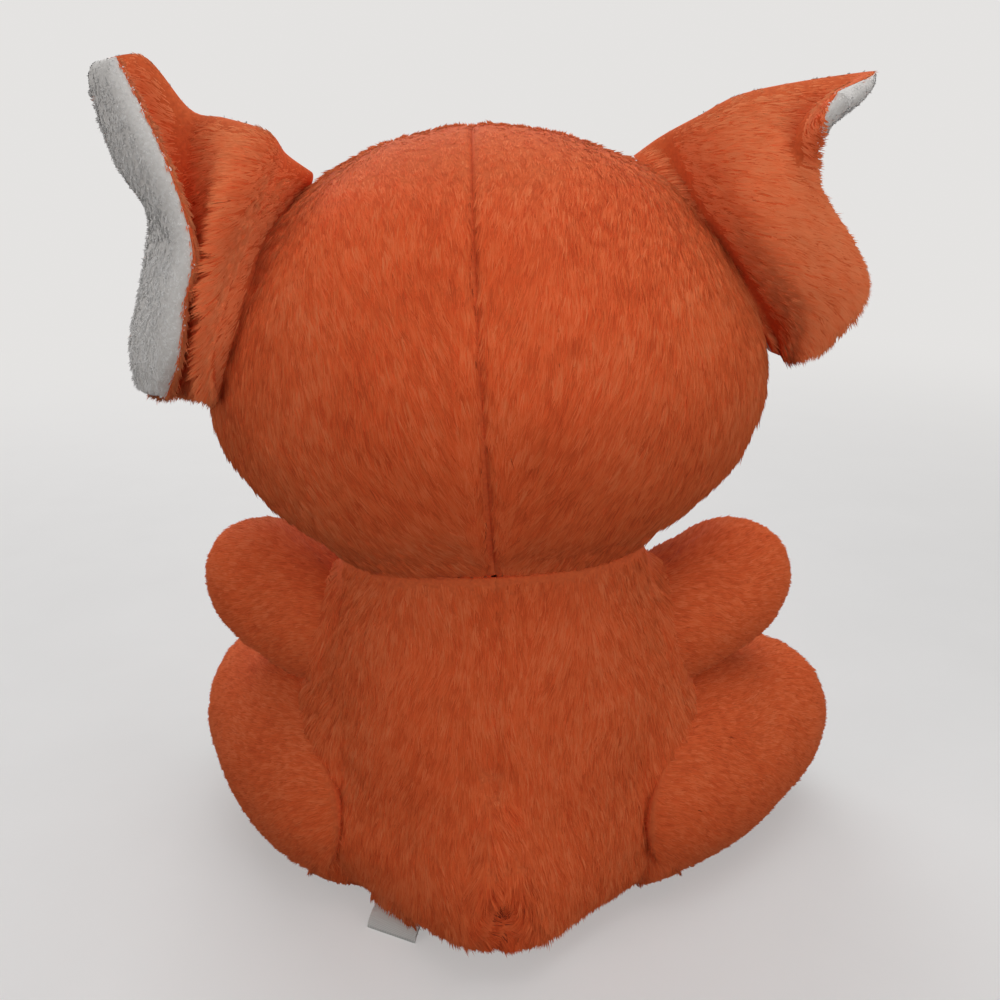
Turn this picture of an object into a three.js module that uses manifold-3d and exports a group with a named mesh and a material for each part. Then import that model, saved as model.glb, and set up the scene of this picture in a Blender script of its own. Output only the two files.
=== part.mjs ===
// Sitting puppy plush toy: sewn plush panels over fibre filling, with plastic safety eyes and nose.
// Millimetres, +Z up. The toy faces -Y, its left side is +X, and it sits on z = 0 with the origin
// under the middle of its seat.
import * as THREE from "three";
import { mergeVertices } from "three/addons/utils/BufferGeometryUtils.js";
import Module from "manifold-3d";

const wasm = await Module();
wasm.setup();

// Fabric and fits
const PLUSH = 2.4; // thickness of a plush panel with its pile pressed flat
const FIT = 0.3; // clearance between pieces that touch
const CREASE = 1.2; // clearance between two stuffed limbs that rest close together
const SEAT_FLAT = 0.5; // depth of the flat that each soft form rests on

// Head, an ellipsoid with full cheeks
const HEAD_WIDTH = 138;
const HEAD_DEPTH = 110;
const HEAD_HEIGHT = 110;
const HEAD_CHEEK = 0.08; // share by which the lower head is wider and the upper head narrower
const HEAD_TOP = 197; // height of the crown above the seat
const HEAD_FORWARD = 6; // how far the head's middle is in front of the seat's middle
const HEAD_LEAN = 3; // degrees that the head leans to the toy's left
const NECK_TUCK = 8; // how far up inside the head the point is that it turns about
const NECK_HEIGHT = HEAD_TOP - HEAD_HEIGHT + NECK_TUCK;
const NECK_RADIUS = 16; // wad of filling in the neck

// Body, a pear that is blunt at the seat
const BODY_WIDTH = 120;
const BODY_DEPTH = 90;
const BODY_TOP = 120; // height of the pear's upper end, which the head cuts off
const BODY_WIDEST = 50; // height of the pear's middle ring
const BODY_TAPER = 0.3; // share of the width lost from the seat to the upper end
const SEAT_BLUNT = 4.6; // power of the curve from the sides to the seat
const SHOULDER_BLUNT = 2.3; // power of the curve from the sides to the neck
const RUMP_POINT = 15; // how far the seams draw the rump out to a point behind
const RUMP_HEIGHT = 10; // height of that point
const RUMP_TALL = 26; // height over which the point fades into the back
const RUMP_POWER = 9; // higher is narrower
const SIDE_SEAM_Y = -8; // plane of the seam between the back panels and the belly
const SEAT_SEAM = 4.5; // height of the seam round the seat panel

// Arms, sewn on along a seam that leans in at the top
const ARM_LENGTH = 43;
const ARM_WIDTH = 34;
const ARM_HEIGHT = 38;
const ARM_SWELL = 0.12; // share by which the paw is thicker and the root thinner
const ARM_ROOT = 14; // length of arm inside the body's outline before it is cut
const SHOULDER_HEIGHT = 72;
const SHOULDER_Y = -4;
const SHOULDER_TILT = 12;
const ARM_FORWARD = { left: 42, right: 40 }; // degrees from straight sideways to straight ahead

// Legs, stretched out in front on the table
const LEG_LENGTH = 92;
const LEG_WIDTH = 55;
const LEG_HEIGHT = 55;
const LEG_SWELL = 0.04;
const LEG_ROOT = 16; // length of leg behind the hip
const HIP_X = 42;
const HIP_Y = 7;
const LEG_FORWARD = { left: 62, right: 48 };
const LIMB_BLUNT = 0.25; // 0 gives an ellipsoid's ends, higher makes them blunter
const SOLE_DEPTH = 12; // how much of the foot's round end the sole covers

// Ears, two plies each on a folded middle sheet that runs smoothly through these points.
// Rows go from the ear's lower end up, and each row from its sewn root out to its free edge.
// The points are shares of the head's half sizes, measured from its middle.
const EAR_NET = {
  left: [
    [
      [0.88, 0.41, -0.02], [0.90, 0.49, -0.00], [0.89, 0.55, 0.01], [0.93, 0.51, 0.01],
      [0.99, 0.44, -0.00], [1.05, 0.40, -0.00], [1.09, 0.44, 0.02], [1.01, 0.58, 0.04],
    ],
    [
      [0.81, 0.49, 0.16], [0.85, 0.56, 0.19], [0.86, 0.60, 0.22], [0.90, 0.55, 0.20],
      [0.95, 0.45, 0.18], [1.04, 0.40, 0.19], [1.08, 0.45, 0.22], [0.93, 0.67, 0.21],
    ],
    [
      [0.75, 0.46, 0.35], [0.80, 0.56, 0.37], [0.82, 0.62, 0.39], [0.86, 0.55, 0.38],
      [0.90, 0.45, 0.37], [0.99, 0.38, 0.40], [1.03, 0.44, 0.45], [0.89, 0.67, 0.41],
    ],
    [
      [0.70, 0.30, 0.55], [0.75, 0.47, 0.56], [0.77, 0.60, 0.57], [0.81, 0.51, 0.59],
      [0.87, 0.40, 0.61], [0.95, 0.31, 0.66], [0.98, 0.36, 0.73], [0.85, 0.64, 0.62],
    ],
    [
      [0.62, 0.05, 0.72], [0.67, 0.32, 0.76], [0.69, 0.55, 0.81], [0.78, 0.44, 0.84],
      [0.88, 0.31, 0.88], [1.02, 0.25, 0.94], [1.07, 0.33, 0.97], [0.90, 0.56, 0.94],
    ],
    [
      [0.54, 0.05, 0.84], [0.60, 0.22, 0.93], [0.62, 0.36, 1.01], [0.76, 0.29, 1.07],
      [0.89, 0.20, 1.11], [1.01, 0.20, 1.31], [1.14, 0.25, 1.30], [1.04, 0.40, 1.30],
    ],
  ],
  right: [
    [
      [-0.99, 0.18, 0.00], [-1.03, 0.16, -0.02], [-1.05, 0.22, -0.03], [-1.09, 0.22, -0.02],
      [-1.13, 0.20, 0.00], [-1.16, 0.17, 0.03],
    ],
    [
      [-0.92, 0.17, 0.14], [-0.98, 0.16, 0.15], [-1.04, 0.27, 0.19], [-1.14, 0.27, 0.21],
      [-1.22, 0.24, 0.23], [-1.30, 0.17, 0.24],
    ],
    [
      [-0.81, 0.28, 0.34], [-0.88, 0.24, 0.34], [-0.94, 0.35, 0.40], [-1.04, 0.34, 0.42],
      [-1.15, 0.28, 0.44], [-1.23, 0.22, 0.45],
    ],
    [
      [-0.70, 0.27, 0.53], [-0.77, 0.24, 0.55], [-0.83, 0.35, 0.61], [-0.92, 0.36, 0.64],
      [-1.02, 0.32, 0.67], [-1.10, 0.27, 0.69],
    ],
    [
      [-0.60, 0.17, 0.70], [-0.68, 0.13, 0.74], [-0.76, 0.26, 0.80], [-0.88, 0.30, 0.85],
      [-1.04, 0.25, 0.91], [-1.07, 0.41, 0.93],
    ],
    [
      [-0.53, 0.02, 0.83], [-0.62, 0.05, 0.90], [-0.73, 0.15, 0.97], [-0.89, 0.18, 1.06],
      [-1.28, 0.15, 1.11], [-1.12, 0.37, 1.04],
    ],
  ],
};
const EAR_BACK_PLY = 1.6;
const EAR_LINING_PLY = 2.4;
const EAR_ROOT_PLY = 0.7; // a ply's thickness where it is gathered near the root
const EAR_FULL = [0.5, 0.8]; // shares of the way out between which a ply gets its full thickness
const EAR_SUNK = 0.2; // share by which the sheet runs on inside the head before it is cut

// Face
const MUZZLE_WIDTH = 62;
const MUZZLE_HEIGHT = 46;
const MUZZLE_DEPTH = 52;
const MUZZLE_DROP = 20; // below the head's middle
const MUZZLE_OUT = 44; // in front of the head's middle
const NOSE_WIDTH = 20;
const NOSE_HEIGHT = 14;
const NOSE_DEPTH = 12;
const NOSE_RISE = 22; // degrees above the muzzle's middle
const EYE_RADIUS = 6.5;
const EYE_BULGE = 4.5;
const EYE_SPREAD = 27; // degrees from the head's middle plane
const EYE_RISE = 8; // degrees above the head's middle
const STEM_RADIUS = 2;
const STEM_LENGTH = 12;
const STEM_SUNK = 1; // length of the stem inside its cap
const WASHER_RADIUS = 7.5;
const WASHER_THICK = 1.6;
const WASHER_SINK = 0.8; // how far the washer's rim dips inside the curved cover

// Blank woven tab in the seat seam
const TAB_WIDTH = 14;
const TAB_THICK = 0.8;
const TAB_SEWN = 3; // length of the tab held in the seam
const TAB_LENGTH = 3.5; // how far the tab stands out from the seam
const TAB_BEARING = 57; // degrees from the toy's left towards its back

// Ranges of the soft joints, in degrees either way
const HEAD_TURN = 15;
const HEAD_NOD = 5;
const ARM_SWING = 15;
const LEG_SWING = 8;
const EAR_SWING = 12;

// Facets: the covers' outsides are finer than their insides and the filling, which share theirs
const BIG = { around: 20, along: 13 };
const BIG_CORE = { around: 12, along: 8 };
const LIMB = { around: 12, along: 10 };
const LIMB_CORE = { around: 8, along: 6 };
const SMALL = { around: 10, along: 6 };
const EAR_STEPS = { along: 8, out: 10 };
const TAB_STEPS = 6;
const SWEEP_STEP = 10; // degrees at most between the places that a swept room is made of

const SIDES = { left: 1, right: -1 };
const FAR = 4 * HEAD_WIDTH; // reach of the blocks that cut along a plane
const WELD = 1e-4; // points nearer than this are one point
const TINY = 1e-3; // step for a slope
const rad = THREE.MathUtils.degToRad;
const vec = (x, y, z) => new THREE.Vector3(x, y, z);

// Looks
const material = (color, roughness) =>
  new THREE.MeshStandardMaterial({ color, roughness, metalness: 0 });
const orangePlush = () => material("#d9622b", 0.95);
const creamPlush = () => material("#e9ddd3", 0.95);
const filling = () => material("#f1efe8", 1);
const blackPlastic = () => material("#16120f", 0.2);
const whitePlastic = () => material("#dcdcd8", 0.5);
const wovenTab = () => material("#efeeea", 0.8);

// Solids: closed geometry to a solid and back, and the cuts along planes
function solid(geometry) {
  const bare = geometry.clone();
  for (const name of Object.keys(bare.attributes)) {
    if (name !== "position") bare.deleteAttribute(name);
  }
  const merged = mergeVertices(bare, WELD);
  const vertProperties = new Float32Array(merged.getAttribute("position").array);
  const triVerts = new Uint32Array(merged.getIndex().array);
  return new wasm.Manifold(new wasm.Mesh({ numProp: 3, vertProperties, triVerts }));
}

function mesh(name, body, look) {
  const { numProp, vertProperties, triVerts } = body.getMesh();
  const geometry = new THREE.BufferGeometry();
  const points = new Float32Array((vertProperties.length / numProp) * 3);
  for (let i = 0; i < points.length / 3; i++) {
    points.set(vertProperties.subarray(i * numProp, i * numProp + 3), 3 * i);
  }
  geometry.setAttribute("position", new THREE.BufferAttribute(points, 3));
  geometry.setIndex(new THREE.BufferAttribute(new Uint32Array(triVerts), 1));
  geometry.computeVertexNormals();
  const result = new THREE.Mesh(geometry, look);
  result.name = name;
  return result;
}

// The half space on the far side of a plane: at is where the plane meets the axis that direction follows.
function halfSpace(direction, at) {
  const block = new THREE.BoxGeometry(FAR, FAR, FAR);
  const shift = direction.clone().multiplyScalar(FAR / 2);
  const along = direction.clone().multiply(direction).multiplyScalar(at);
  return solid(block.translate(shift.x + along.x, shift.y + along.y, shift.z + along.z));
}
const X = vec(1, 0, 0);
const Y = vec(0, 1, 0);
const Z = vec(0, 0, 1);
const beyond = (axis, at) => halfSpace(axis, at);
const before = (axis, at) => halfSpace(axis.clone().negate(), at);

const union = (solids) => solids.reduce((whole, one) => whole.add(one));
const largest = (body) => body.decompose().sort((a, b) => b.volume() - a.volume())[0];

// A stuffed form: a sphere of unit directions, each moved to the point that the form's own rule gives.
function stuffed({ around, along }, point) {
  const ball = new THREE.SphereGeometry(1, around, along).rotateX(Math.PI / 2);
  ball.deleteAttribute("normal");
  ball.deleteAttribute("uv");
  const form = mergeVertices(ball, WELD);
  const position = form.getAttribute("position");
  const d = vec(0, 0, 0);
  for (let i = 0; i < position.count; i++) {
    const p = point(d.fromBufferAttribute(position, i).normalize());
    position.setXYZ(i, p.x, p.y, p.z);
  }
  return form;
}

// Geometry of one group seen in another group's frame
function inFrame(geometry, from, to) {
  const change = to.matrixWorld.clone().invert().multiply(from.matrixWorld);
  return geometry.clone().applyMatrix4(change);
}

// What a limb has to stay clear of while it swings about its own Z axis
function sweptAbout(geometry, range) {
  const turns = [];
  const steps = Math.ceil((2 * range) / SWEEP_STEP);
  for (let i = 0; i <= steps; i++) {
    const angle = rad(THREE.MathUtils.lerp(-range, range, i / steps));
    turns.push(solid(geometry.clone().rotateZ(angle)));
  }
  return union(turns);
}

// Frames of the moving groups
const toy = new THREE.Group();
const neck = new THREE.Group();
neck.position.set(0, 0, NECK_HEIGHT);
const head = new THREE.Group();
head.position.copy(neck.position);
head.rotation.y = rad(HEAD_LEAN);
toy.add(neck, head);

const HEAD_MIDDLE = vec(0, -HEAD_FORWARD, HEAD_TOP - HEAD_HEIGHT / 2 - NECK_HEIGHT);

function headPoint(d, grow) {
  return vec(
    (HEAD_WIDTH / 2 + grow) * d.x * (1 - HEAD_CHEEK * d.z),
    (HEAD_DEPTH / 2 + grow) * d.y,
    (HEAD_HEIGHT / 2 + grow) * d.z,
  ).add(HEAD_MIDDLE);
}
const headForm = (grow, facets = BIG) => stuffed(facets, (d) => headPoint(d, grow));

// The pear has one blunt rule below its widest ring and a rounder one above it.
function bodyPoint(d, grow) {
  const power = 2 / (d.z < 0 ? SEAT_BLUNT : SHOULDER_BLUNT);
  const ring = Math.hypot(d.x, d.y);
  const spread = ring > 0 ? Math.pow(ring, power - 1) : 0;
  const width = spread * (1 - (BODY_TAPER * (1 + d.z)) / 2);
  const rise = Math.sign(d.z) * Math.pow(Math.abs(d.z), power);
  const reach = d.z < 0 ? BODY_WIDEST + SEAT_FLAT : BODY_TOP - BODY_WIDEST;
  const height = BODY_WIDEST + (reach + grow) * rise;
  const behind = ring > 0 ? Math.pow(Math.max(0, d.y / ring), RUMP_POWER) : 0;
  const low = Math.exp(-Math.pow((height - RUMP_HEIGHT) / RUMP_TALL, 2));
  const rump = RUMP_POINT * behind * low * Math.min(1, ring * spread);
  return vec(
    (BODY_WIDTH / 2 + grow) * d.x * width,
    (BODY_DEPTH / 2 + grow) * d.y * width + rump,
    height,
  );
}
const bodyForm = (grow, facets = BIG) => stuffed(facets, (d) => bodyPoint(d, grow));

// Half the body's width at a height above its widest ring
function bodyHalfWidth(height) {
  const rise = (height - BODY_WIDEST) / (BODY_TOP - BODY_WIDEST);
  const up = Math.pow(rise, SHOULDER_BLUNT / 2);
  return bodyPoint(vec(Math.sqrt(1 - up * up), 0, up), 0).x;
}

// A limb along its group's X, swelling towards its far end
function limbForm({ length, root, width, height, swell }, grow, facets = LIMB) {
  return stuffed(facets, (d) => {
    const thick = 1 + swell * d.z;
    const ring = Math.hypot(d.x, d.y);
    const blunt = ring > 0 ? Math.pow(ring, -LIMB_BLUNT) : 0;
    return vec(
      length / 2 - root + (length / 2 + grow) * d.z,
      (width / 2 + grow) * d.x * blunt * thick,
      (height / 2 + grow) * d.y * blunt * thick,
    );
  });
}
const ARM = {
  length: ARM_LENGTH + ARM_ROOT,
  root: ARM_ROOT,
  width: ARM_WIDTH,
  height: ARM_HEIGHT,
  swell: ARM_SWELL,
};
const LEG = {
  length: LEG_LENGTH,
  root: LEG_ROOT,
  width: LEG_WIDTH,
  height: LEG_HEIGHT,
  swell: LEG_SWELL,
};

function limbGroup(name, place, tilt, forward) {
  const side = SIDES[name];
  const group = new THREE.Group();
  group.position.set(side * place.x, place.y, place.z);
  group.rotation.set(0, -side * rad(tilt), side > 0 ? -rad(forward) : Math.PI + rad(forward));
  toy.add(group);
  return group;
}

const HIP_HEIGHT = LEG_HEIGHT / 2 - SEAT_FLAT;
const arms = {};
const legs = {};
const ears = {};
for (const name of Object.keys(SIDES)) {
  const shoulder = vec(bodyHalfWidth(SHOULDER_HEIGHT), SHOULDER_Y, SHOULDER_HEIGHT);
  arms[name] = limbGroup(name, shoulder, SHOULDER_TILT, ARM_FORWARD[name]);
  legs[name] = limbGroup(name, vec(HIP_X, HIP_Y, HIP_HEIGHT), 0, LEG_FORWARD[name]);
  ears[name] = earGroup(name);
}
toy.updateMatrixWorld(true);

// The rows of points that an ear's middle sheet runs through, in the head's frame
function earRows(name) {
  const half = vec(HEAD_WIDTH / 2, HEAD_DEPTH / 2, HEAD_HEIGHT / 2);
  return EAR_NET[name].map((row) => row.map((share) => vec(...share).multiply(half).add(HEAD_MIDDLE)));
}

// The ear's hinge runs from the lower end of its root to the upper, through the middle of the root's points.
function earGroup(name) {
  const roots = earRows(name).map((row) => row[0]);
  const group = new THREE.Group();
  for (const root of roots) group.position.addScaledVector(root, 1 / roots.length);
  const axis = roots[roots.length - 1].clone().sub(roots[0]).normalize();
  group.quaternion.setFromUnitVectors(Z, axis);
  head.add(group);
  return group;
}

// The space that the head sweeps while it nods and turns, in the toy's frame
function headSweep(grow) {
  const places = [];
  for (const turn of [-HEAD_TURN, 0, HEAD_TURN]) {
    for (const nod of [-HEAD_NOD, HEAD_NOD]) {
      const form = inFrame(headForm(grow), head, neck).rotateX(rad(nod)).rotateZ(rad(turn));
      places.push(solid(inFrame(form, neck, toy)));
    }
  }
  return union(places);
}

// The facets of the neck's wad stand in from its true sphere, so its room is larger by as much.
const WAD_FACET = Math.cos(Math.PI / LIMB.around) * Math.cos(Math.PI / (2 * LIMB.along));
const wadRoom = () => wadOf(NECK_RADIUS / WAD_FACET - NECK_RADIUS + FIT / 2);
const wadOf = (grow) => new THREE.SphereGeometry(NECK_RADIUS + grow, LIMB.around, LIMB.along);
neck.add(mesh("neck_filling", solid(wadOf(0)), filling()));

// Body: four panels, the filling and the blank tab
function addBody() {
  const taken = headSweep(FIT).add(solid(inFrame(wadRoom(), neck, toy)));
  const outside = solid(bodyForm(0)).subtract(taken).subtract(before(Z, 0));
  const inside = solid(bodyForm(-PLUSH, BIG_CORE)).intersect(beyond(Z, PLUSH));
  const cover = outside.subtract(inside);
  const upper = cover.intersect(beyond(Z, SEAT_SEAM + FIT / 2));
  const back = upper.intersect(beyond(Y, SIDE_SEAM_Y + FIT / 2));
  const core = solid(bodyForm(-PLUSH - FIT, BIG_CORE)).subtract(taken);
  toy.add(
    mesh("body_back_left", back.intersect(beyond(X, FIT / 2)), orangePlush()),
    mesh("body_back_right", back.intersect(before(X, -FIT / 2)), orangePlush()),
    mesh("body_belly", upper.intersect(before(Y, SIDE_SEAM_Y - FIT / 2)), creamPlush()),
    mesh("seat_panel", cover.intersect(before(Z, SEAT_SEAM - FIT / 2)), orangePlush()),
    mesh("body_filling", core.intersect(beyond(Z, PLUSH + FIT)), filling()),
  );
}

// The tab hangs from the seat seam and lies out on the table.
function addTab() {
  const drop = -Math.pow((BODY_WIDEST - SEAT_SEAM) / (BODY_WIDEST + SEAT_FLAT), SEAT_BLUNT / 2);
  const ring = Math.sqrt(1 - drop * drop);
  const bearing = rad(TAB_BEARING);
  const sewn = bodyPoint(vec(ring * Math.cos(bearing), ring * Math.sin(bearing), drop), 0);
  const strip = new THREE.Shape();
  strip.moveTo(-TAB_SEWN, SEAT_SEAM);
  strip.quadraticCurveTo(TAB_LENGTH / 2, SEAT_SEAM, TAB_LENGTH, TAB_THICK);
  strip.lineTo(TAB_LENGTH, 0);
  const underside = SEAT_SEAM - TAB_THICK;
  strip.quadraticCurveTo(TAB_LENGTH / 2 - TAB_THICK, underside, -TAB_SEWN, underside);
  strip.closePath();
  const way = { depth: TAB_WIDTH, bevelEnabled: false, curveSegments: TAB_STEPS };
  const cloth = new THREE.ExtrudeGeometry(strip, way);
  cloth.translate(0, 0, -TAB_WIDTH / 2).rotateX(Math.PI / 2);
  const tab = new THREE.Group();
  tab.position.set(sewn.x, sewn.y, 0);
  tab.rotation.z = Math.atan2(sewn.y * BODY_WIDTH ** 2, sewn.x * BODY_DEPTH ** 2);
  toy.add(tab);
  tab.updateMatrixWorld(true);
  const body = solid(inFrame(bodyForm(FIT), toy, tab));
  tab.add(mesh("seat_tab", solid(cloth).subtract(body), wovenTab()));
}

// A safety eye or nose: a cap on a stem through the cover, held by a washer inside
function fittingGroup(owner, point, normal) {
  const group = new THREE.Group();
  group.position.copy(point);
  group.quaternion.setFromUnitVectors(Z, normal.clone().normalize());
  owner.add(group);
  group.updateMatrixWorld(true);
  return group;
}
const post = (radius, from, to) =>
  solid(new THREE.CylinderGeometry(radius, radius, to - from, SMALL.around)
    .rotateX(Math.PI / 2).translate(0, 0, (from + to) / 2));
const stemOf = (grow) => post(STEM_RADIUS + grow, -STEM_LENGTH - grow, STEM_SUNK + grow);
const WASHER_BACK = -(PLUSH + FIT + WASHER_SINK + WASHER_THICK);
const FRONT = STEM_LENGTH + EYE_RADIUS; // past the outside of the cover

function addFitting(name, group, owner, skin, coreFacets, capRadii) {
  const [rx, ry, rz] = capRadii;
  const cap = solid(new THREE.SphereGeometry(1, SMALL.around, SMALL.along).scale(rx, ry, rz));
  const under = solid(inFrame(skin(FIT), owner, group));
  const within = solid(inFrame(skin(-PLUSH - FIT, coreFacets), owner, group));
  const ring = post(WASHER_RADIUS, WASHER_BACK, 0).subtract(post(STEM_RADIUS + FIT, -FAR, FAR));
  group.add(
    mesh(name, cap.subtract(under).add(stemOf(0)), blackPlastic()),
    mesh(`${name}_washer`, ring.intersect(within), whitePlastic()),
  );
}

// The room that a fitting takes in the cover and in the filling, in its owner's frame
const stemRoom = (group, owner) => inFrameSolid(stemOf(FIT), group, owner);
const washerRoom = (group, owner) =>
  inFrameSolid(post(WASHER_RADIUS + FIT, WASHER_BACK - FIT, FRONT).add(stemOf(FIT)), group, owner);

function inFrameSolid(body, from, to) {
  const held = mesh("room", body, null).geometry;
  return solid(inFrame(held, from, to));
}

const MUZZLE_MIDDLE = HEAD_MIDDLE.clone().add(vec(0, -MUZZLE_OUT, -MUZZLE_DROP));
function muzzlePoint(d, grow) {
  return vec(
    (MUZZLE_WIDTH / 2 + grow) * d.x,
    (MUZZLE_DEPTH / 2 + grow) * d.y,
    (MUZZLE_HEIGHT / 2 + grow) * d.z,
  ).add(MUZZLE_MIDDLE);
}
const muzzleForm = (grow, facets = LIMB) => stuffed(facets, (d) => muzzlePoint(d, grow));

// Head: two back panels with a seam down the middle, the face, the muzzle and the fittings
function addHead() {
  const room = solid(wadRoom());
  const cover = solid(headForm(0)).subtract(room).subtract(solid(headForm(-PLUSH, BIG_CORE)));
  const seam = HEAD_MIDDLE.y;
  const back = cover.intersect(beyond(Y, seam + FIT / 2));
  let face = cover.intersect(before(Y, seam - FIT / 2));
  let stuffing = solid(headForm(-PLUSH - FIT, BIG_CORE)).subtract(room);

  for (const [name, side] of Object.entries(SIDES)) {
    const turn = rad(EYE_SPREAD);
    const rise = rad(EYE_RISE);
    const level = Math.cos(rise);
    const d = vec(side * Math.sin(turn) * level, -Math.cos(turn) * level, Math.sin(rise));
    const normal = d.clone().divide(vec(HEAD_WIDTH, HEAD_DEPTH, HEAD_HEIGHT));
    const group = fittingGroup(head, headPoint(d, 0), normal);
    addFitting(`${name}_eye`, group, head, headForm, BIG_CORE, [EYE_RADIUS, EYE_RADIUS, EYE_BULGE]);
    face = face.subtract(stemRoom(group, head));
    stuffing = stuffing.subtract(washerRoom(group, head));
  }

  const behind = solid(headForm(FIT));
  const muzzleCover = solid(muzzleForm(0)).subtract(solid(muzzleForm(-PLUSH, LIMB_CORE)));
  let muzzle = muzzleCover.subtract(behind);
  let muzzleFill = solid(muzzleForm(-PLUSH - FIT, LIMB_CORE)).subtract(behind);
  const tip = vec(0, -Math.cos(rad(NOSE_RISE)), Math.sin(rad(NOSE_RISE)));
  const slope = tip.clone().divide(vec(MUZZLE_WIDTH, MUZZLE_DEPTH, MUZZLE_HEIGHT));
  const nose = fittingGroup(head, muzzlePoint(tip, 0), slope);
  const noseRadii = [NOSE_WIDTH / 2, NOSE_HEIGHT / 2, NOSE_DEPTH / 2];
  addFitting("nose", nose, head, muzzleForm, LIMB_CORE, noseRadii);
  muzzle = muzzle.subtract(stemRoom(nose, head));
  muzzleFill = muzzleFill.subtract(washerRoom(nose, head));

  head.add(
    mesh("head_back_left", back.intersect(beyond(X, FIT / 2)), orangePlush()),
    mesh("head_back_right", back.intersect(before(X, -FIT / 2)), orangePlush()),
    mesh("head_face", face, orangePlush()),
    mesh("head_filling", stuffing, filling()),
    mesh("muzzle", muzzle, creamPlush()),
    mesh("muzzle_filling", muzzleFill, filling()),
  );
}

// The two sides of a limb's long seam: outer is towards the back of the toy
const outerHalf = (side) => (side > 0 ? beyond(Y, FIT / 2) : before(Y, -FIT / 2));
const innerHalf = (side) => outerHalf(-side);

// Arms: a front and a back panel each
function addArm(name) {
  const side = SIDES[name];
  const group = arms[name];
  const room = union([
    sweptAbout(inFrame(bodyForm(FIT), toy, group), ARM_SWING),
    inFrameSolid(headSweep(CREASE), toy, group),
    sweptAbout(inFrame(limbForm(LEG, CREASE), legs[name], group), ARM_SWING),
  ]);
  const inside = solid(limbForm(ARM, -PLUSH, LIMB_CORE));
  const cover = solid(limbForm(ARM, 0)).subtract(room).subtract(inside);
  const core = solid(limbForm(ARM, -PLUSH - FIT, LIMB_CORE)).subtract(room);
  group.add(
    mesh(`${name}_arm_back`, cover.intersect(outerHalf(side)), orangePlush()),
    mesh(`${name}_arm_front`, cover.intersect(innerHalf(side)), orangePlush()),
    mesh(`${name}_arm_filling`, core, filling()),
  );
}

// Legs: an outer and an inner panel each, and a sole that closes the foot
function addLeg(name) {
  const side = SIDES[name];
  const group = legs[name];
  const sole = LEG_LENGTH - LEG_ROOT - SOLE_DEPTH;
  const room = sweptAbout(inFrame(bodyForm(FIT), toy, group), LEG_SWING).add(before(Z, -HIP_HEIGHT));
  const inside = solid(limbForm(LEG, -PLUSH, LIMB_CORE)).intersect(beyond(Z, PLUSH - HIP_HEIGHT));
  const cover = solid(limbForm(LEG, 0)).subtract(room).subtract(inside);
  const tube = cover.intersect(before(X, sole - FIT / 2));
  const floorRoom = before(Z, PLUSH + FIT - HIP_HEIGHT);
  const core = solid(limbForm(LEG, -PLUSH - FIT, LIMB_CORE)).subtract(room);
  group.add(
    mesh(`${name}_leg_outer`, tube.intersect(outerHalf(side)), orangePlush()),
    mesh(`${name}_leg_inner`, tube.intersect(innerHalf(side)), orangePlush()),
    mesh(`${name}_foot_sole`, cover.intersect(beyond(X, sole + FIT / 2)), creamPlush()),
    mesh(`${name}_leg_filling`, core.subtract(floorRoom), filling()),
  );
}

// The ear's middle sheet: s runs up the root and t from inside the head out to the free edge.
function earSheet(name) {
  const smooth = (points) => new THREE.CatmullRomCurve3(points, false, "catmullrom");
  const rows = earRows(name).map((row) => {
    const sunk = row[0].clone().lerp(HEAD_MIDDLE, EAR_SUNK);
    return smooth([sunk, ...row]);
  });
  const point = (s, t) => smooth(rows.map((row) => row.getPoint(t))).getPoint(s);
  const step = (x, by) => THREE.MathUtils.clamp(x + by, 0, 1);
  return (s, t, depth) => {
    const up = point(step(s, TINY), t).sub(point(step(s, -TINY), t));
    const away = point(s, step(t, TINY)).sub(point(s, step(t, -TINY)));
    const normal = up.cross(away).normalize().multiplyScalar(SIDES[name]);
    return point(s, t).addScaledVector(normal, depth);
  };
}

// One ply of an ear: the sheet moved to two depths along its own normal and closed round the rim
function earPly(name, way, thick) {
  const sheet = earSheet(name);
  const near = () => FIT / 2;
  const far = (t) =>
    FIT / 2 + THREE.MathUtils.lerp(EAR_ROOT_PLY, thick, THREE.MathUtils.smoothstep(t, ...EAR_FULL));
  const { along, out } = EAR_STEPS;
  const points = [];
  for (const depth of way > 0 ? [near, far] : [far, near]) {
    for (let i = 0; i <= along; i++) {
      for (let j = 0; j <= out; j++) {
        const p = sheet(i / along, j / out, way * depth(j / out));
        points.push(p.x, p.y, p.z);
      }
    }
  }
  const at = (layer, i, j) => (layer * (along + 1) + i) * (out + 1) + j;
  const triangles = [];
  const quad = (a, b, c, d) => triangles.push(a, b, c, a, c, d);
  for (let i = 0; i < along; i++) {
    for (let j = 0; j < out; j++) {
      quad(at(0, i, j), at(0, i, j + 1), at(0, i + 1, j + 1), at(0, i + 1, j));
      quad(at(1, i, j), at(1, i + 1, j), at(1, i + 1, j + 1), at(1, i, j + 1));
    }
    quad(at(0, i, 0), at(0, i + 1, 0), at(1, i + 1, 0), at(1, i, 0));
    quad(at(0, i + 1, out), at(0, i, out), at(1, i, out), at(1, i + 1, out));
  }
  for (let j = 0; j < out; j++) {
    quad(at(0, 0, j + 1), at(0, 0, j), at(1, 0, j), at(1, 0, j + 1));
    quad(at(0, along, j), at(0, along, j + 1), at(1, along, j + 1), at(1, along, j));
  }
  if (SIDES[name] < 0) triangles.reverse();
  const geometry = new THREE.BufferGeometry();
  geometry.setAttribute("position", new THREE.Float32BufferAttribute(points, 3));
  geometry.setIndex(triangles);
  return geometry;
}

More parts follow.
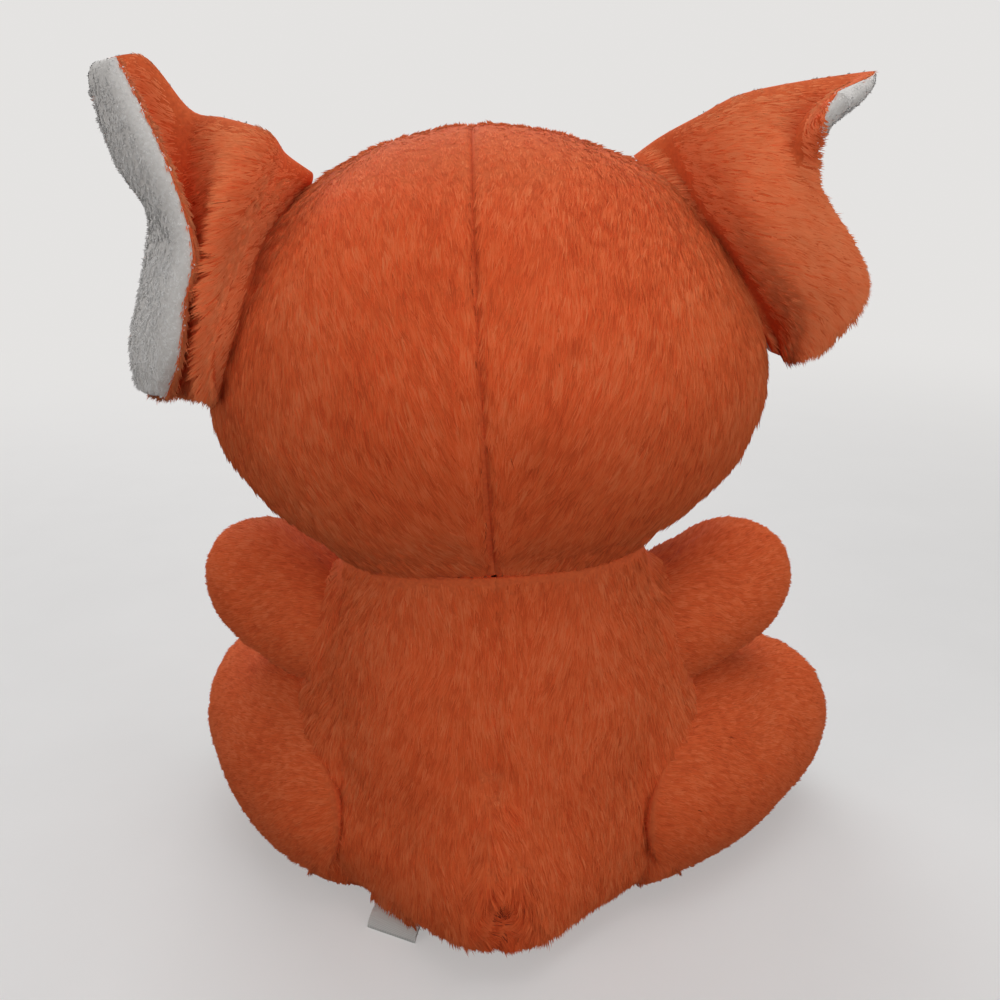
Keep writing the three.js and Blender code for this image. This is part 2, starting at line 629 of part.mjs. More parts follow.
function addEar(name) {
  const group = ears[name];
  const room = sweptAbout(inFrame(headForm(FIT), head, group), EAR_SWING);
  const ply = (way, thick) =>
    largest(solid(inFrame(earPly(name, way, thick), head, group)).subtract(room));
  group.add(
    mesh(`${name}_ear_back`, ply(1, EAR_BACK_PLY), orangePlush()),
    mesh(`${name}_ear_lining`, ply(-1, EAR_LINING_PLY), creamPlush()),
  );
}

addBody();
addTab();
addHead();
for (const name of Object.keys(SIDES)) {
  addArm(name);
  addLeg(name);
  addEar(name);
}

export default toy;
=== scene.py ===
"""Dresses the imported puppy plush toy: sewn covers, pile, ears, face, tab, stage, light and camera.

Lengths are millimetres until a mesh is made. +Z is up, the toy faces -Y and its left side is +X.
"""
import itertools
import math

import bpy
import numpy as np
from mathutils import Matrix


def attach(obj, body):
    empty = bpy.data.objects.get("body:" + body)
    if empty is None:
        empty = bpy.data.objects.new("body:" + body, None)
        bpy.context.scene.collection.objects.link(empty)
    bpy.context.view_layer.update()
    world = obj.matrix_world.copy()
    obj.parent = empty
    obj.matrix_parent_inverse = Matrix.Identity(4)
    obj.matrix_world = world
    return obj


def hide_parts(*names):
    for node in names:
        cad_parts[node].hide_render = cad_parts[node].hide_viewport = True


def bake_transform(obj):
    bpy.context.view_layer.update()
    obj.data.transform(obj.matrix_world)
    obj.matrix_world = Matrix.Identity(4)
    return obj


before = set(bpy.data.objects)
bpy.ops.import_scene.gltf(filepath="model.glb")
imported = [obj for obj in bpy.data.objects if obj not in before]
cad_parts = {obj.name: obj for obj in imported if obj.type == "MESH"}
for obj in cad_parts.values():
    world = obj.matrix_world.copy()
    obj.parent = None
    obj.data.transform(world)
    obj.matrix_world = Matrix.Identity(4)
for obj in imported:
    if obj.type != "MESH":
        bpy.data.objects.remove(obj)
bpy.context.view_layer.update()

MM = 0.001
RNG = np.random.default_rng(11)
PILE_SHARE = 1.0

# Driving sizes, the same as in the part's source
HEAD_SIZE = np.array((138.0, 110.0, 110.0))
HEAD_CHEEK = 0.08
HEAD_LEAN = 3
NECK = np.array((0.0, 0.0, 95.0))
HEAD_MIDDLE = np.array((0.0, -6.0, 47.0))
BODY_WIDTH, BODY_DEPTH, BODY_TOP, BODY_WIDEST = 120.0, 90.0, 120.0, 50.0
BODY_TAPER, SEAT_BLUNT, SHOULDER_BLUNT, SEAT_FLAT = 0.3, 4.6, 2.3, 0.5
RUMP_POINT, RUMP_HEIGHT, RUMP_TALL, RUMP_POWER = 15.0, 10.0, 26.0, 9
SIDE_SEAM_TURN = math.radians(10.2)
SEAT_SEAM = 4.5
LIMB_BLUNT = 0.25
# Limbs: forward is how far they are turned, bend is where the bend at their joint starts and its length
ARM = dict(
    kind="arm", halves=("back", "front"), forward=dict(left=42, right=40), bend=(2, 14),
    length=57.0, width=34.0, height=38.0, swell=0.12, root=14.0, fillet=16.0,
    x=47.12, y=-4.0, z=72.0, tilt=12,
)
LEG = dict(
    kind="leg", halves=("outer", "inner"), forward=dict(left=62, right=48), bend=(6, 22),
    length=92.0, width=55.0, height=55.0, swell=0.04, root=16.0, fillet=26.0,
    x=42.0, y=7.0, z=27.0, tilt=0,
)
SOLE_DEPTH = 12.0
# Ears: middle sheets through these points, rows from the lower end up, each from the root to the free edge
EAR_NET = dict(
    left=(
        ((62.7, 16.3, 137.7), (64.2, 21.2, 138.6), (63.7, 24, 139.5), (66.5, 22, 138.9),
         (70.4, 18, 138.1), (75.1, 16, 138), (77.6, 18, 139), (72.3, 26, 140.5)),
        ((58.4, 20.7, 148), (61.4, 24.8, 149.3), (62.3, 27, 150.7), (64.9, 24, 149.6),
         (68.2, 19, 148.5), (74.4, 16, 148.7), (77.8, 19, 150.3), (67, 31, 150.3)),
        ((55.2, 19.2, 158.3), (58.5, 24.6, 159.4), (59.8, 28, 160.5), (62.6, 24, 159.6),
         (65.8, 19, 159.2), (71.6, 15, 160.2), (74.4, 18, 162.9), (64.8, 31, 161.3)),
        ((52.3, 10.3, 169.7), (55.7, 19.6, 170.1), (57, 27, 170.6), (60.3, 22, 171.6),
         (63.9, 16, 172.4), (69.9, 11, 175), (72.2, 14, 178.3), (62.5, 29, 172.9)),
        ((46.9, -3.1, 179), (50.5, 11.4, 181.5), (52, 24, 184), (58.8, 18, 185.2),
         (65.6, 11, 186.9), (75.3, 8, 189.7), (79.1, 12, 191.1), (67.5, 25, 190.4)),
        ((42.4, -3.4, 186.1), (46.3, 6.3, 190.6), (48.2, 14, 195.2), (57.9, 10, 197.9),
         (66.8, 5, 199.7), (75.6, 5, 210.4), (84.8, 8, 209.1), (77.9, 16, 209.8)),
    ),
    right=(
        ((-65.5, 4.1, 145.6), (-68.5, 3, 144.3), (-70.2, 6, 144.3),
         (-72.8, 6, 145), (-75.2, 5, 146.2), (-77.4, 3.5, 147.6)),
        ((-60.8, 3.4, 153), (-64.7, 3, 153.6), (-68.6, 9, 156),
         (-75.2, 9, 157.3), (-81, 7, 158.8), (-86.4, 3.5, 159.8)),
        ((-52.5, 9.3, 163.3), (-57, 7, 163.6), (-61, 13, 167.2),
         (-67.8, 12.5, 169), (-75.6, 9.5, 170.4), (-81.2, 6, 171.3)),
        ((-44.3, 9.1, 173.5), (-48.9, 7, 174.8), (-53.1, 13.5, 178.2),
         (-59.4, 14, 180.6), (-66.1, 11.5, 182.6), (-71.5, 9, 183.9)),
        ((-37.1, 3.3, 182.6), (-42.4, 1, 184.9), (-47.6, 8.5, 188.6),
         (-55.6, 10.5, 192), (-66.3, 8, 195.6), (-68.6, 16.5, 196.9)),
        ((-31.9, -5, 189.5), (-37.6, -3.5, 193.8), (-44.8, 2, 198.1),
         (-56.1, 4, 203.4), (-82.3, 2, 207.3), (-71.6, 14.5, 203.1)),
    ),
)
MUZZLE_RADII = np.array((31.0, 26.0, 23.0))
MUZZLE_MIDDLE = HEAD_MIDDLE + np.array((0.0, -44.0, -20.0))

# Covers and pile. A density is in strands to a square millimetre
SKIN_DEPTH = 1.7
SKIN_THICK = 1.1
ROOT_SUNK = 0.5
NECK_CLEAR = 0.4
TABLE_CLEAR = 0.4
NECK_FILLET = 12.0
PLUSH_DENSITY, MUZZLE_DENSITY, LIMB_DENSITY = 5.2, 4.0, 6.0
SIDES = dict(left=1, right=-1)
# Steps of the repeatable noise
HASH_STEPS, HASH_MIX = np.array((374761393, 668265263, 974634283)), 1274126177


def unit(v):
    return v / np.maximum(np.linalg.norm(v, axis=-1, keepdims=True), 1e-9)


def dot(a, b):
    return np.sum(a * b, axis=-1)


def ramp(value, low, high):
    """Goes smoothly from 0 at low to 1 at high."""
    x = np.clip((value - low) / (high - low), 0, 1)
    return x * x * (3 - 2 * x)


def hump(value, width):
    """1 at 0, and next to nothing from twice the width."""
    return np.exp(-((value / width) ** 2))


def ridge(value, height, width):
    return height * hump(value, width)


def lattice(corner, seed):
    """A repeatable number from 0 to 1 for each whole-number corner."""
    h = dot(corner, HASH_STEPS) + seed * HASH_MIX
    h = ((h ^ (h >> 13)) * HASH_MIX) & 0xFFFFFFFF
    return ((h ^ (h >> 16)) & 0xFFFF) / 65535.0


def noise(points, size, seed):
    """Smooth noise from -1 to 1, with lumps about size across."""
    q = points / size
    low = np.floor(q).astype(np.int64)
    f = q - low
    f = f * f * (3 - 2 * f)
    total = np.zeros(points.shape[:-1])
    for step in itertools.product((0, 1), repeat=3):
        share = np.prod(np.where(np.array(step) == 1, f, 1 - f), axis=-1)
        total += share * lattice(low + np.array(step), seed)
    return 2 * total - 1


def noise_each_way(points, size, seed):
    return np.stack([noise(points, size, seed + k) for k in range(3)], -1)


def picked(mask, *arrays):
    return [a[mask] for a in arrays]


def turn(axis, degrees):
    c, s = math.cos(math.radians(degrees)), math.sin(math.radians(degrees))
    i, j = {"x": (1, 2), "y": (2, 0), "z": (0, 1)}[axis]
    m = np.eye(3)
    m[i, i], m[j, j], m[i, j], m[j, i] = c, c, -s, s
    return m


class Place:
    """A frame of the model: out goes to the model's frame, back comes from it."""

    def __init__(self, turned, offset):
        self.turned, self.offset = turned, np.asarray(offset, float)

    def out(self, p):
        return p @ self.turned.T + self.offset

    def back(self, p):
        return (p - self.offset) @ self.turned


HEAD_PLACE = Place(turn("y", HEAD_LEAN), NECK)
WORLD_PLACE = Place(np.eye(3), (0, 0, 0))


def limb_place(spec, side_name):
    side, forward = SIDES[side_name], spec["forward"][side_name]
    spin = -forward if side > 0 else 180 + forward
    return Place(turn("y", -side * spec["tilt"]) @ turn("z", spin), (side * spec["x"], spec["y"], spec["z"]))


# Forms: a unit direction and a rise give a point in the form's own frame
def head_shape(d, rise):
    half = HEAD_SIZE / 2
    x = (half[0] + rise) * d[..., 0] * (1 - HEAD_CHEEK * d[..., 2])
    y = (half[1] + rise) * d[..., 1]
    z = (half[2] + rise) * d[..., 2]
    return np.stack((x, y, z), -1) + HEAD_MIDDLE


def muzzle_shape(d, rise):
    return (MUZZLE_RADII + np.asarray(rise)[..., None]) * d + MUZZLE_MIDDLE


def rump_reach(turned, height):
    return RUMP_POINT * np.maximum(0, turned) ** RUMP_POWER * hump(height - RUMP_HEIGHT, RUMP_TALL)


def body_shape(d, rise):
    share = d[..., 2]
    blunt = np.where(share < 0, SEAT_BLUNT, SHOULDER_BLUNT)
    reach = np.where(share < 0, BODY_WIDEST + SEAT_FLAT, BODY_TOP - BODY_WIDEST)
    around = unit(d[..., :2])
    radius = np.maximum(1 - np.abs(share) ** blunt, 0) ** (1 / blunt)
    width = radius * (1 - BODY_TAPER * (1 + np.sign(share) * np.abs(share) ** (blunt / 2)) / 2)
    height = BODY_WIDEST + (reach + rise) * share
    rump = rump_reach(around[..., 1], height) * np.minimum(1, radius)
    x = (BODY_WIDTH / 2 + rise) * around[..., 0] * width
    y = (BODY_DEPTH / 2 + rise) * around[..., 1] * width + rump
    return np.stack((x, y, height), -1)


def limb_shape(spec):
    def shape(d, rise):
        dz = d[..., 2]
        ring = np.maximum(np.hypot(d[..., 0], d[..., 1]), 1e-6)
        thick = ring ** -LIMB_BLUNT * (1 + spec["swell"] * dz)
        x = spec["length"] / 2 - spec["root"] + (spec["length"] / 2 + rise) * dz
        y = (spec["width"] / 2 + rise) * d[..., 0] * thick
        z = (spec["height"] / 2 + rise) * d[..., 1] * thick
        return np.stack((x, y, z), -1)

    return shape


# Levels: about how far a point is outside a form, negative inside
def head_level(p):
    q = HEAD_PLACE.back(p) - HEAD_MIDDLE
    half = HEAD_SIZE / 2
    dz = q[..., 2] / half[2]
    x = q[..., 0] / (half[0] * (1 - HEAD_CHEEK * np.clip(dz, -1, 1)))
    return (np.sqrt(x**2 + (q[..., 1] / half[1]) ** 2 + dz**2) - 1) * half[1]


def body_level(p):
    z = p[..., 2] - BODY_WIDEST
    blunt = np.where(z < 0, SEAT_BLUNT, SHOULDER_BLUNT)
    reach = np.where(z < 0, BODY_WIDEST + SEAT_FLAT, BODY_TOP - BODY_WIDEST)
    share = np.clip(np.abs(z) / reach, 0, 1)
    dz = np.sign(z) * share ** (blunt / 2)
    ring = np.sqrt(np.maximum(1 - dz**2, 0))
    radius = ring ** (2 / blunt) * (1 - BODY_TAPER * (1 + dz) / 2)
    away = np.maximum(np.hypot(p[..., 0], p[..., 1]), 1e-6)
    rump = rump_reach(p[..., 1] / away, p[..., 2]) * np.minimum(1, radius)
    value = np.hypot(p[..., 0] / (BODY_WIDTH / 2), (p[..., 1] - rump) / (BODY_DEPTH / 2))
    return (value - radius) * BODY_DEPTH / 2 + np.maximum(np.abs(z) - reach, 0)


def limb_level(spec, place):
    def level(p):
        q = place.back(p)
        dz = (q[..., 0] - spec["length"] / 2 + spec["root"]) / (spec["length"] / 2)
        ring = np.sqrt(np.maximum(1 - dz**2, 0))
        thick = ring ** (1 - LIMB_BLUNT) * (1 + spec["swell"] * dz)
        value = np.hypot(q[..., 1] / (spec["width"] / 2), q[..., 2] / (spec["height"] / 2))
        return (value - thick) * spec["width"] / 2 + np.maximum(np.abs(dz) - 1, 0) * spec["length"] / 2

    return level


LIMBS = []
for spec in (ARM, LEG):
    for side_name in SIDES:
        place = limb_place(spec, side_name)
        LIMBS.append((spec, side_name, place, limb_level(spec, place)))
PUSHES = 24


def pushed(p, level, clear, way):
    """Moves the points that are under the clearance along way until they stand clear."""
    flat = p.reshape(-1, 3).copy()
    low = np.nonzero(level(flat) < clear)[0]
    for _ in range(PUSHES):
        flat[low] += np.asarray(way) * np.maximum(0, clear - level(flat[low]))[:, None]
    return flat.reshape(p.shape)


def above_table(p, height):
    out = p.copy()
    out[..., 2] = np.maximum(out[..., 2], height)
    return out


# Reliefs: how far seams, gathers and lumps stand out of a form, in millimetres
def fillet(level, soft_over):
    """The swell of a cover that runs softly into the piece that level tells of."""
    outside = np.maximum(soft_over - np.maximum(level, 0), 0) ** 2 / (4 * soft_over)
    return outside * np.exp(np.minimum(level, 0) / 2)


def head_relief(d):
    p = head_shape(d, 0.0)
    to_body = body_level(HEAD_PLACE.out(p))
    behind = ramp(d[..., 1], -0.02, 0.12)
    seam = ridge(p[..., 0], height=-0.8, width=0.8) * behind * ramp(to_body, 2, 8)
    welts = ridge(np.abs(p[..., 0]) - 5, height=0.3, width=4) * behind
    side_seam = ridge(p[..., 1] - HEAD_MIDDLE[1], height=-0.9, width=2.2)
    run = fillet(to_body, NECK_FILLET)
    lumps = (0.8 * noise(p, 26, 1) + 0.4 * noise(p, 12, 2)) * (1 - 0.9 * ramp(d[..., 2], 0.75, 0.98))
    crown = 1.2 * ramp(d[..., 2], 0.5, 1)
    return seam + welts + side_seam + run + lumps + crown


# On the body's back, by x and z: the pucker over the seat, a dimple above it, and the folds round the pucker
PUCKER, DIMPLE = np.array((-1.5, 19.5)), (1.4, 51.6)
FOLDS = (((0.0, 42.0), (2.0, 28.0)), ((2.0, 28.0), (9.5, 13.0)), ((-4.5, 27.0), (-11.0, 14.0)))
TAB_AT = np.array((26.2, 32.8, 4.5))
BODY_ROUND = 50


def line_distance(x, z, line):
    (x0, z0), (x1, z1) = line
    along = np.clip(((x - x0) * (x1 - x0) + (z - z0) * (z1 - z0)) / ((x1 - x0) ** 2 + (z1 - z0) ** 2), 0, 1)
    return np.hypot(x - x0 - along * (x1 - x0), z - z0 - along * (z1 - z0))


def body_relief(d):
    p = body_shape(d, 0.0)
    x, z = p[..., 0], p[..., 2]
    behind = ramp(d[..., 1], 0.0, 0.25)
    seam = ridge(x, height=-0.6, width=1.2) * behind * ramp(head_level(p), 2, 8)
    pucker = ridge(np.hypot(x - PUCKER[0], z - PUCKER[1]), height=-5.0, width=4.6) * behind
    dimple = ridge(np.hypot(x - DIMPLE[0], z - DIMPLE[1]), height=-1.3, width=5.0) * behind
    folds = sum(ridge(line_distance(x, z, line), height=2.4, width=2.8) for line in FOLDS)
    folds = folds * behind * ramp(z, 8, 20)
    turned = np.arctan2(d[..., 1], np.abs(d[..., 0]))
    side = ridge((turned + SIDE_SEAM_TURN) * BODY_ROUND, height=-0.9, width=2.2)
    seat = ridge(z - SEAT_SEAM, height=-0.7, width=1.6)
    run = fillet(head_level(p), NECK_FILLET)
    for spec, _, _, level in LIMBS:
        run = np.maximum(run, fillet(level(p), spec["fillet"]))
    return seam + pucker + dimple + folds + side + seat + run + 1.1 * noise(p, 24, 5) + 0.6 * noise(p, 12, 6)


def limb_relief(spec, place, seed):
    shape = limb_shape(spec)

    def relief(d):
        p = shape(d, 0.0)
        seam = ridge(p[..., 1], height=-0.5, width=1.6)
        run = fillet(body_level(place.out(p)), spec["fillet"])
        return seam + run + 0.7 * noise(p, 20, seed) + 0.25 * noise(p, 8, seed + 1)

    return relief


def muzzle_relief(d):
    p = muzzle_shape(d, np.zeros(d.shape[:-1]))
    seam = ridge(p[..., 0], height=-0.8, width=2.0) * ramp(-d[..., 2], -0.1, 0.3)
    return seam + 0.3 * noise(p, 12, 9)


class Form:
    """A stuffed cover: its shape with its relief, in its place, and trimmed where it meets another piece."""

    def __init__(self, shape, relief, place, trim):
        self.shape, self.relief, self.place, self.trim = shape, relief, place, trim

    def at(self, d, rise):
        return self.trim(self.place.out(self.shape(d, self.relief(d) + rise)), rise)


def ball(u, v):
    return np.stack((np.sin(v) * np.cos(u), np.sin(v) * np.sin(u), np.cos(v)), -1)


# Meshes
def make_mesh(name, points, faces, material, uv=None, normals=None):
    mesh = bpy.data.meshes.new(name)
    mesh.vertices.add(len(points))
    mesh.vertices.foreach_set("co", (points * MM).astype(np.float32).ravel())
    mesh.loops.add(faces.size)
    mesh.loops.foreach_set("vertex_index", faces.astype(np.int32).ravel())
    mesh.polygons.add(len(faces))
    mesh.polygons.foreach_set("loop_start", np.arange(0, faces.size, faces.shape[1], dtype=np.int32))
    if uv is not None:
        layer = mesh.uv_layers.new(name="OFBake")
        layer.uv.foreach_set("vector", uv.astype(np.float32).ravel())
    mesh.update(calc_edges=True)
    mesh.validate()
    mesh.shade_smooth()
    if normals is not None:
        mesh.normals_split_custom_set(normals)
    mesh.materials.append(material)
    piece = bpy.data.objects.new(name, mesh)
    bpy.context.collection.objects.link(piece)
    return piece


def welded(points, faces):
    """Joins points that lie on each other and drops the faces that this leaves with no area."""
    _, first, back = np.unique(np.round(points, 4), axis=0, return_index=True, return_inverse=True)
    faces = back.reshape(-1)[faces]
    points = points[first]
    rows = []
    for face in faces:
        ring = [a for a, b in zip(face, np.roll(face, 1)) if a != b]
        if len(ring) == 4:
            rows += [(ring[0], ring[1], ring[2]), (ring[0], ring[2], ring[3])]
        elif len(ring) == 3:
            rows.append(tuple(ring))
    return points, np.array(rows)


def grid_faces(index):
    """The four-sided faces between the points of a grid."""
    return np.stack((index[:-1, :-1], index[1:, :-1], index[1:, 1:], index[:-1, 1:]), -1).reshape(-1, 4)


def closed_shell(outer, inner):
    """A grid of outer points and one of inner points, closed round its edge."""
    index = np.arange(outer[..., 0].size).reshape(outer.shape[:2])
    top = grid_faces(index)
    low = top[:, ::-1] + index.size
    edge = np.concatenate((index[:, 0], index[-1, 1:], index[-2::-1, -1], index[0, -2:0:-1]))
    after = np.roll(edge, -1)
    rim = np.stack((after, edge, edge + index.size, after + index.size), -1)
    points = np.concatenate((outer.reshape(-1, 3), inner.reshape(-1, 3)))
    return welded(points, np.concatenate((top, low, rim)))


def grid_mesh(name, p, material, flip=False):
    """A grid of points that closes on itself."""
    index = np.arange(p[..., 0].size).reshape(p.shape[:2])
    faces = grid_faces(index.T if flip else index)
    return make_mesh(name, *welded(p.reshape(-1, 3), faces), material)


def cover(name, form, us, vs, material):
    """One sewn panel of a form, as a closed cloth shell."""
    d = ball(*np.meshgrid(us, vs, indexing="xy"))
    points, faces = closed_shell(form.at(d, -SKIN_DEPTH), form.at(d, -SKIN_DEPTH - SKIN_THICK))
    return make_mesh(name, points, faces, material)


def wad(name, form, depth, seed):
    """Fibre filling, a lumpy closed form inside its cover."""
    d = ball(*np.meshgrid(np.linspace(0, 2 * np.pi, 41), np.linspace(0, np.pi, 25), indexing="xy"))
    p = form.at(d, -depth)
    middle = p.reshape(-1, 3).mean(axis=0)
    p = middle + (p - middle) * (0.97 + 0.02 * noise(p, 7, seed))[..., None]
    p[:, -1], p[0], p[-1] = p[:, 0], p[0, 0], p[-1, 0]
    return grid_mesh(name, p, filling)


# Pile: each strand is a closed blade of four points, bent and widest at its middle,
# and lit as the cloth under it
MOST_STRANDS = 48000
STRAYS = 0.04
STRAND_FACES = np.array(((0, 1, 2), (3, 2, 1), (0, 3, 1), (0, 2, 3)))
BEND_AT = 0.45
TONE_SPREAD = 0.26
NUDGE = 0.001


def scatter(at, us, vs, density):
    """Even random points on a surface given by two numbers: those numbers, the points and the normals."""
    grid = at(*np.meshgrid(us, vs, indexing="xy"))
    across = np.cross(grid[1:, 1:] - grid[:-1, :-1], grid[1:, :-1] - grid[:-1, 1:])
    total = np.cumsum(np.linalg.norm(across, axis=-1).ravel() / 2)
    count = int(density * PILE_SHARE * total[-1])
    row, col = np.divmod(np.searchsorted(total, RNG.random(count) * total[-1]), len(us) - 1)
    u = us[col] + RNG.random(count) * np.diff(us)[col]
    v = vs[row] + RNG.random(count) * np.diff(vs)[row]
    step_u, step_v = NUDGE * (us[-1] - us[0]), NUDGE * (vs[-1] - vs[0])
    low_v, high_v = np.maximum(v - step_v, vs[0]), np.minimum(v + step_v, vs[-1])
    low_u, high_u = np.maximum(u - step_u, us[0]), np.minimum(u + step_u, us[-1])
    return u, v, at(u, v), unit(np.cross(at(u, high_v) - at(u, low_v), at(high_u, v) - at(low_u, v)))


def scatter_form(form, density):
    """Even random points on a stuffed form: directions, points and outward normals."""
    us, vs = np.linspace(0, 2 * np.pi, 241), np.linspace(0.004, np.pi - 0.004, 161)
    u, v, p, n = scatter(lambda u, v: form.at(ball(u, v), -SKIN_DEPTH), us, vs, density)
    return ball(u, v), p, n


def laid(vectors, normals):
    """Vectors laid into the surface."""
    return unit(vectors - normals * dot(vectors, normals)[..., None])


def strands(name, base, normal, flow, style, material, length=1.0, shade=0.0):
    """The pile on a panel, in pieces of a size that exports whole.

    Strands lean along the flow, gathered in small locks.
    """
    n = len(base)
    wobble = noise_each_way(base, style["lock"] * 2.5, 21)
    cell = np.floor((base + style["lock"] * 0.7 * wobble) / style["lock"]).astype(np.int64)
    lock = np.unique(cell, axis=0, return_inverse=True)[1].reshape(-1)
    count = np.bincount(lock)
    middle = np.stack([np.bincount(lock, base[:, k]) / count for k in range(3)], -1)[lock]
    own = RNG.random((n, 5))
    shared = RNG.random((len(count), 4))[lock]
    swing = np.radians(style["lock_swing"] * (2 * shared[:, 0] - 1) + style["swing"] * (2 * own[:, 0] - 1))
    lay = flow * np.cos(swing)[:, None] + np.cross(normal, flow) * np.sin(swing)[:, None]
    reach = style["length"] * length * (0.72 + 0.28 * shared[:, 1] + 0.3 * own[:, 1])
    loft = style["loft"] * np.where(RNG.random(n) < STRAYS, 2, 1)
    lock_loft = style["loft"] * (2 * shared[:, 2] - 1)
    gather = middle - base
    gather -= normal * dot(gather, normal)[:, None]
    ways = []
    for rise, by_strand in zip(style["rise"], (own[:, 2], own[:, 3])):
        angle = np.radians(rise + loft * (2 * by_strand - 1) + lock_loft)[:, None]
        ways.append(lay * np.cos(angle) + normal * np.sin(angle))
    root = base - normal * ROOT_SUNK
    bend = root + ways[0] * (BEND_AT * reach + ROOT_SUNK)[:, None] + gather * 0.4 * style["gather"]
    tip = bend + ways[1] * ((1 - BEND_AT) * reach)[:, None] + gather * 0.6 * style["gather"]
    across = unit(np.cross(tip - root, normal))
    side = across * style["width"] * (0.8 + 0.4 * own[:, 4])[:, None] / 2
    points = above_table(np.stack((root, bend + side, bend - side, tip), 1), 0.1)
    lit = unit(normal + 0.3 * unit(np.cross(side, tip - root)))
    edges = [unit(way * across + 0.4 * normal) for way in (1, -1)]
    lit = np.stack((lit,) * 8 + (edges[0], lit, edges[1], lit), 1)
    tone = 0.5 + TONE_SPREAD * (shared[:, 3] - 0.5) + TONE_SPREAD * (own[:, 4] - 0.5) + shade
    tone = np.clip(tone, 0.04, 0.96)
    u = tone[:, None] + 0.015 * np.array((0, -1, 1, 0))
    v = np.broadcast_to(np.array((0.03, 0.5, 0.5, 0.97)), u.shape)
    uv = np.stack((u, v), -1)[:, STRAND_FACES]
    bundles = np.array_split(np.argsort(-base[:, 2]), math.ceil(n / MOST_STRANDS))
    pieces = []
    for k, some in enumerate(bundles):
        faces = (np.arange(len(some))[:, None, None] * 4 + STRAND_FACES).reshape(-1, 3)
        label = name if len(bundles) == 1 else f"{name}_{k + 1}"
        shading = uv[some].reshape(-1, 2), lit[some].reshape(-1, 3)
        pieces.append(make_mesh(label, points[some].reshape(-1, 3), faces, material, *shading))
        pieces[-1].visible_shadow = False  # light passes such fine fibre, so only the covers cast shadows
    return pieces


# Materials. The colour sockets of a mix node go by number
MIX_A, MIX_B, MIX_OUT = 6, 7, 2


def put(node, **values):
    """Sets a node's inputs by their names, with _ for a space."""
    for name, value in values.items():
        node.inputs[name.replace("_", " ")].default_value = value


def node_material(name, roughness, sheen=0.0, tint=(1, 1, 1, 1)):
    m = bpy.data.materials.new(name)
    m.use_nodes = True
    shader = m.node_tree.nodes["Principled BSDF"]
    put(shader, Roughness=roughness, Sheen_Weight=sheen, Sheen_Roughness=0.45, Sheen_Tint=tint)
    return m, m.node_tree.nodes, m.node_tree.links, shader


def colour(r, g, b):
    """A colour as the screen shows it, 0 to 255, as the shader wants it."""
    shares = (c / 255 / 12.92 if c <= 10 else ((c / 255 + 0.055) / 1.055) ** 2.4 for c in (r, g, b))
    return (*shares, 1)


def colour_ramp(nodes, stops):
    node = nodes.new("ShaderNodeValToRGB")
    node.color_ramp.elements[0].position, node.color_ramp.elements[0].color = stops[0]
    node.color_ramp.elements[1].position, node.color_ramp.elements[1].color = stops[-1]
    for at, value in stops[1:-1]:
        node.color_ramp.elements.new(at).color = value
    return node


def pile_material(name, tones, along, sheen):
    """Colour by the strand's own tone across the map, times a painted shade that darkens the strand from tip
    to root up the map.
    """
    m, nodes, links, shader = node_material(name, 0.8, sheen, tones[-1][1])
    put(shader, Specular_IOR_Level=0.25)
    at = nodes.new("ShaderNodeUVMap")
    at.uv_map = "OFBake"
    split = nodes.new("ShaderNodeSeparateXYZ")
    tone = colour_ramp(nodes, tones)
    root_shade = colour_ramp(nodes, along)
    mix = nodes.new("ShaderNodeMix")
    mix.data_type, mix.blend_type = "RGBA", "MULTIPLY"
    mix.inputs[0].default_value = 1
    links.new(at.outputs["UV"], split.inputs[0])
    links.new(split.outputs["X"], tone.inputs[0])
    links.new(split.outputs["Y"], root_shade.inputs[0])
    links.new(tone.outputs[0], mix.inputs[MIX_A])
    links.new(root_shade.outputs[0], mix.inputs[MIX_B])
    links.new(mix.outputs[MIX_OUT], shader.inputs["Base Color"])
    return m


def grain_material(name, dark, light, size, roughness, bump, sheen=0.0):
    """Knit backing, filling, thread, plastic or floor: two tones of fine noise with matching bump."""
    m, nodes, links, shader = node_material(name, roughness, sheen, light)
    at = nodes.new("ShaderNodeTexCoord")
    grain = nodes.new("ShaderNodeTexNoise")
    put(grain, Scale=1000 / size, Detail=4)
    tone = colour_ramp(nodes, ((0.3, dark), (0.7, light)))
    relief = nodes.new("ShaderNodeBump")
    put(relief, Strength=bump, Distance=size * MM * 0.3)
    links.new(at.outputs["Object"], grain.inputs["Vector"])
    links.new(grain.outputs["Fac"], tone.inputs[0])
    links.new(tone.outputs[0], shader.inputs["Base Color"])
    links.new(grain.outputs["Fac"], relief.inputs["Height"])
    links.new(relief.outputs[0], shader.inputs["Normal"])
    return m


def woven_material(name, dark, light, pitch):
    """Plain woven tape, crossed bands of thread."""
    m, nodes, links, shader = node_material(name, 0.7, 0.2)
    at = nodes.new("ShaderNodeTexCoord")
    bands = []
    for direction in ("X", "Y"):
        wave = nodes.new("ShaderNodeTexWave")
        wave.bands_direction = direction
        put(wave, Scale=1000 / pitch * math.tau / 20, Distortion=0.6)
        links.new(at.outputs["Object"], wave.inputs["Vector"])
        bands.append(wave)
    both = nodes.new("ShaderNodeMath")
    both.operation = "MULTIPLY"
    tone = colour_ramp(nodes, ((0.0, dark), (0.8, light)))
    relief = nodes.new("ShaderNodeBump")
    put(relief, Strength=0.4, Distance=0.0002)
    links.new(bands[0].outputs["Fac"], both.inputs[0])
    links.new(bands[1].outputs["Fac"], both.inputs[1])
    links.new(both.outputs[0], tone.inputs[0])
    links.new(both.outputs[0], relief.inputs["Height"])
    links.new(tone.outputs[0], shader.inputs["Base Color"])
    links.new(relief.outputs[0], shader.inputs["Normal"])
    return m
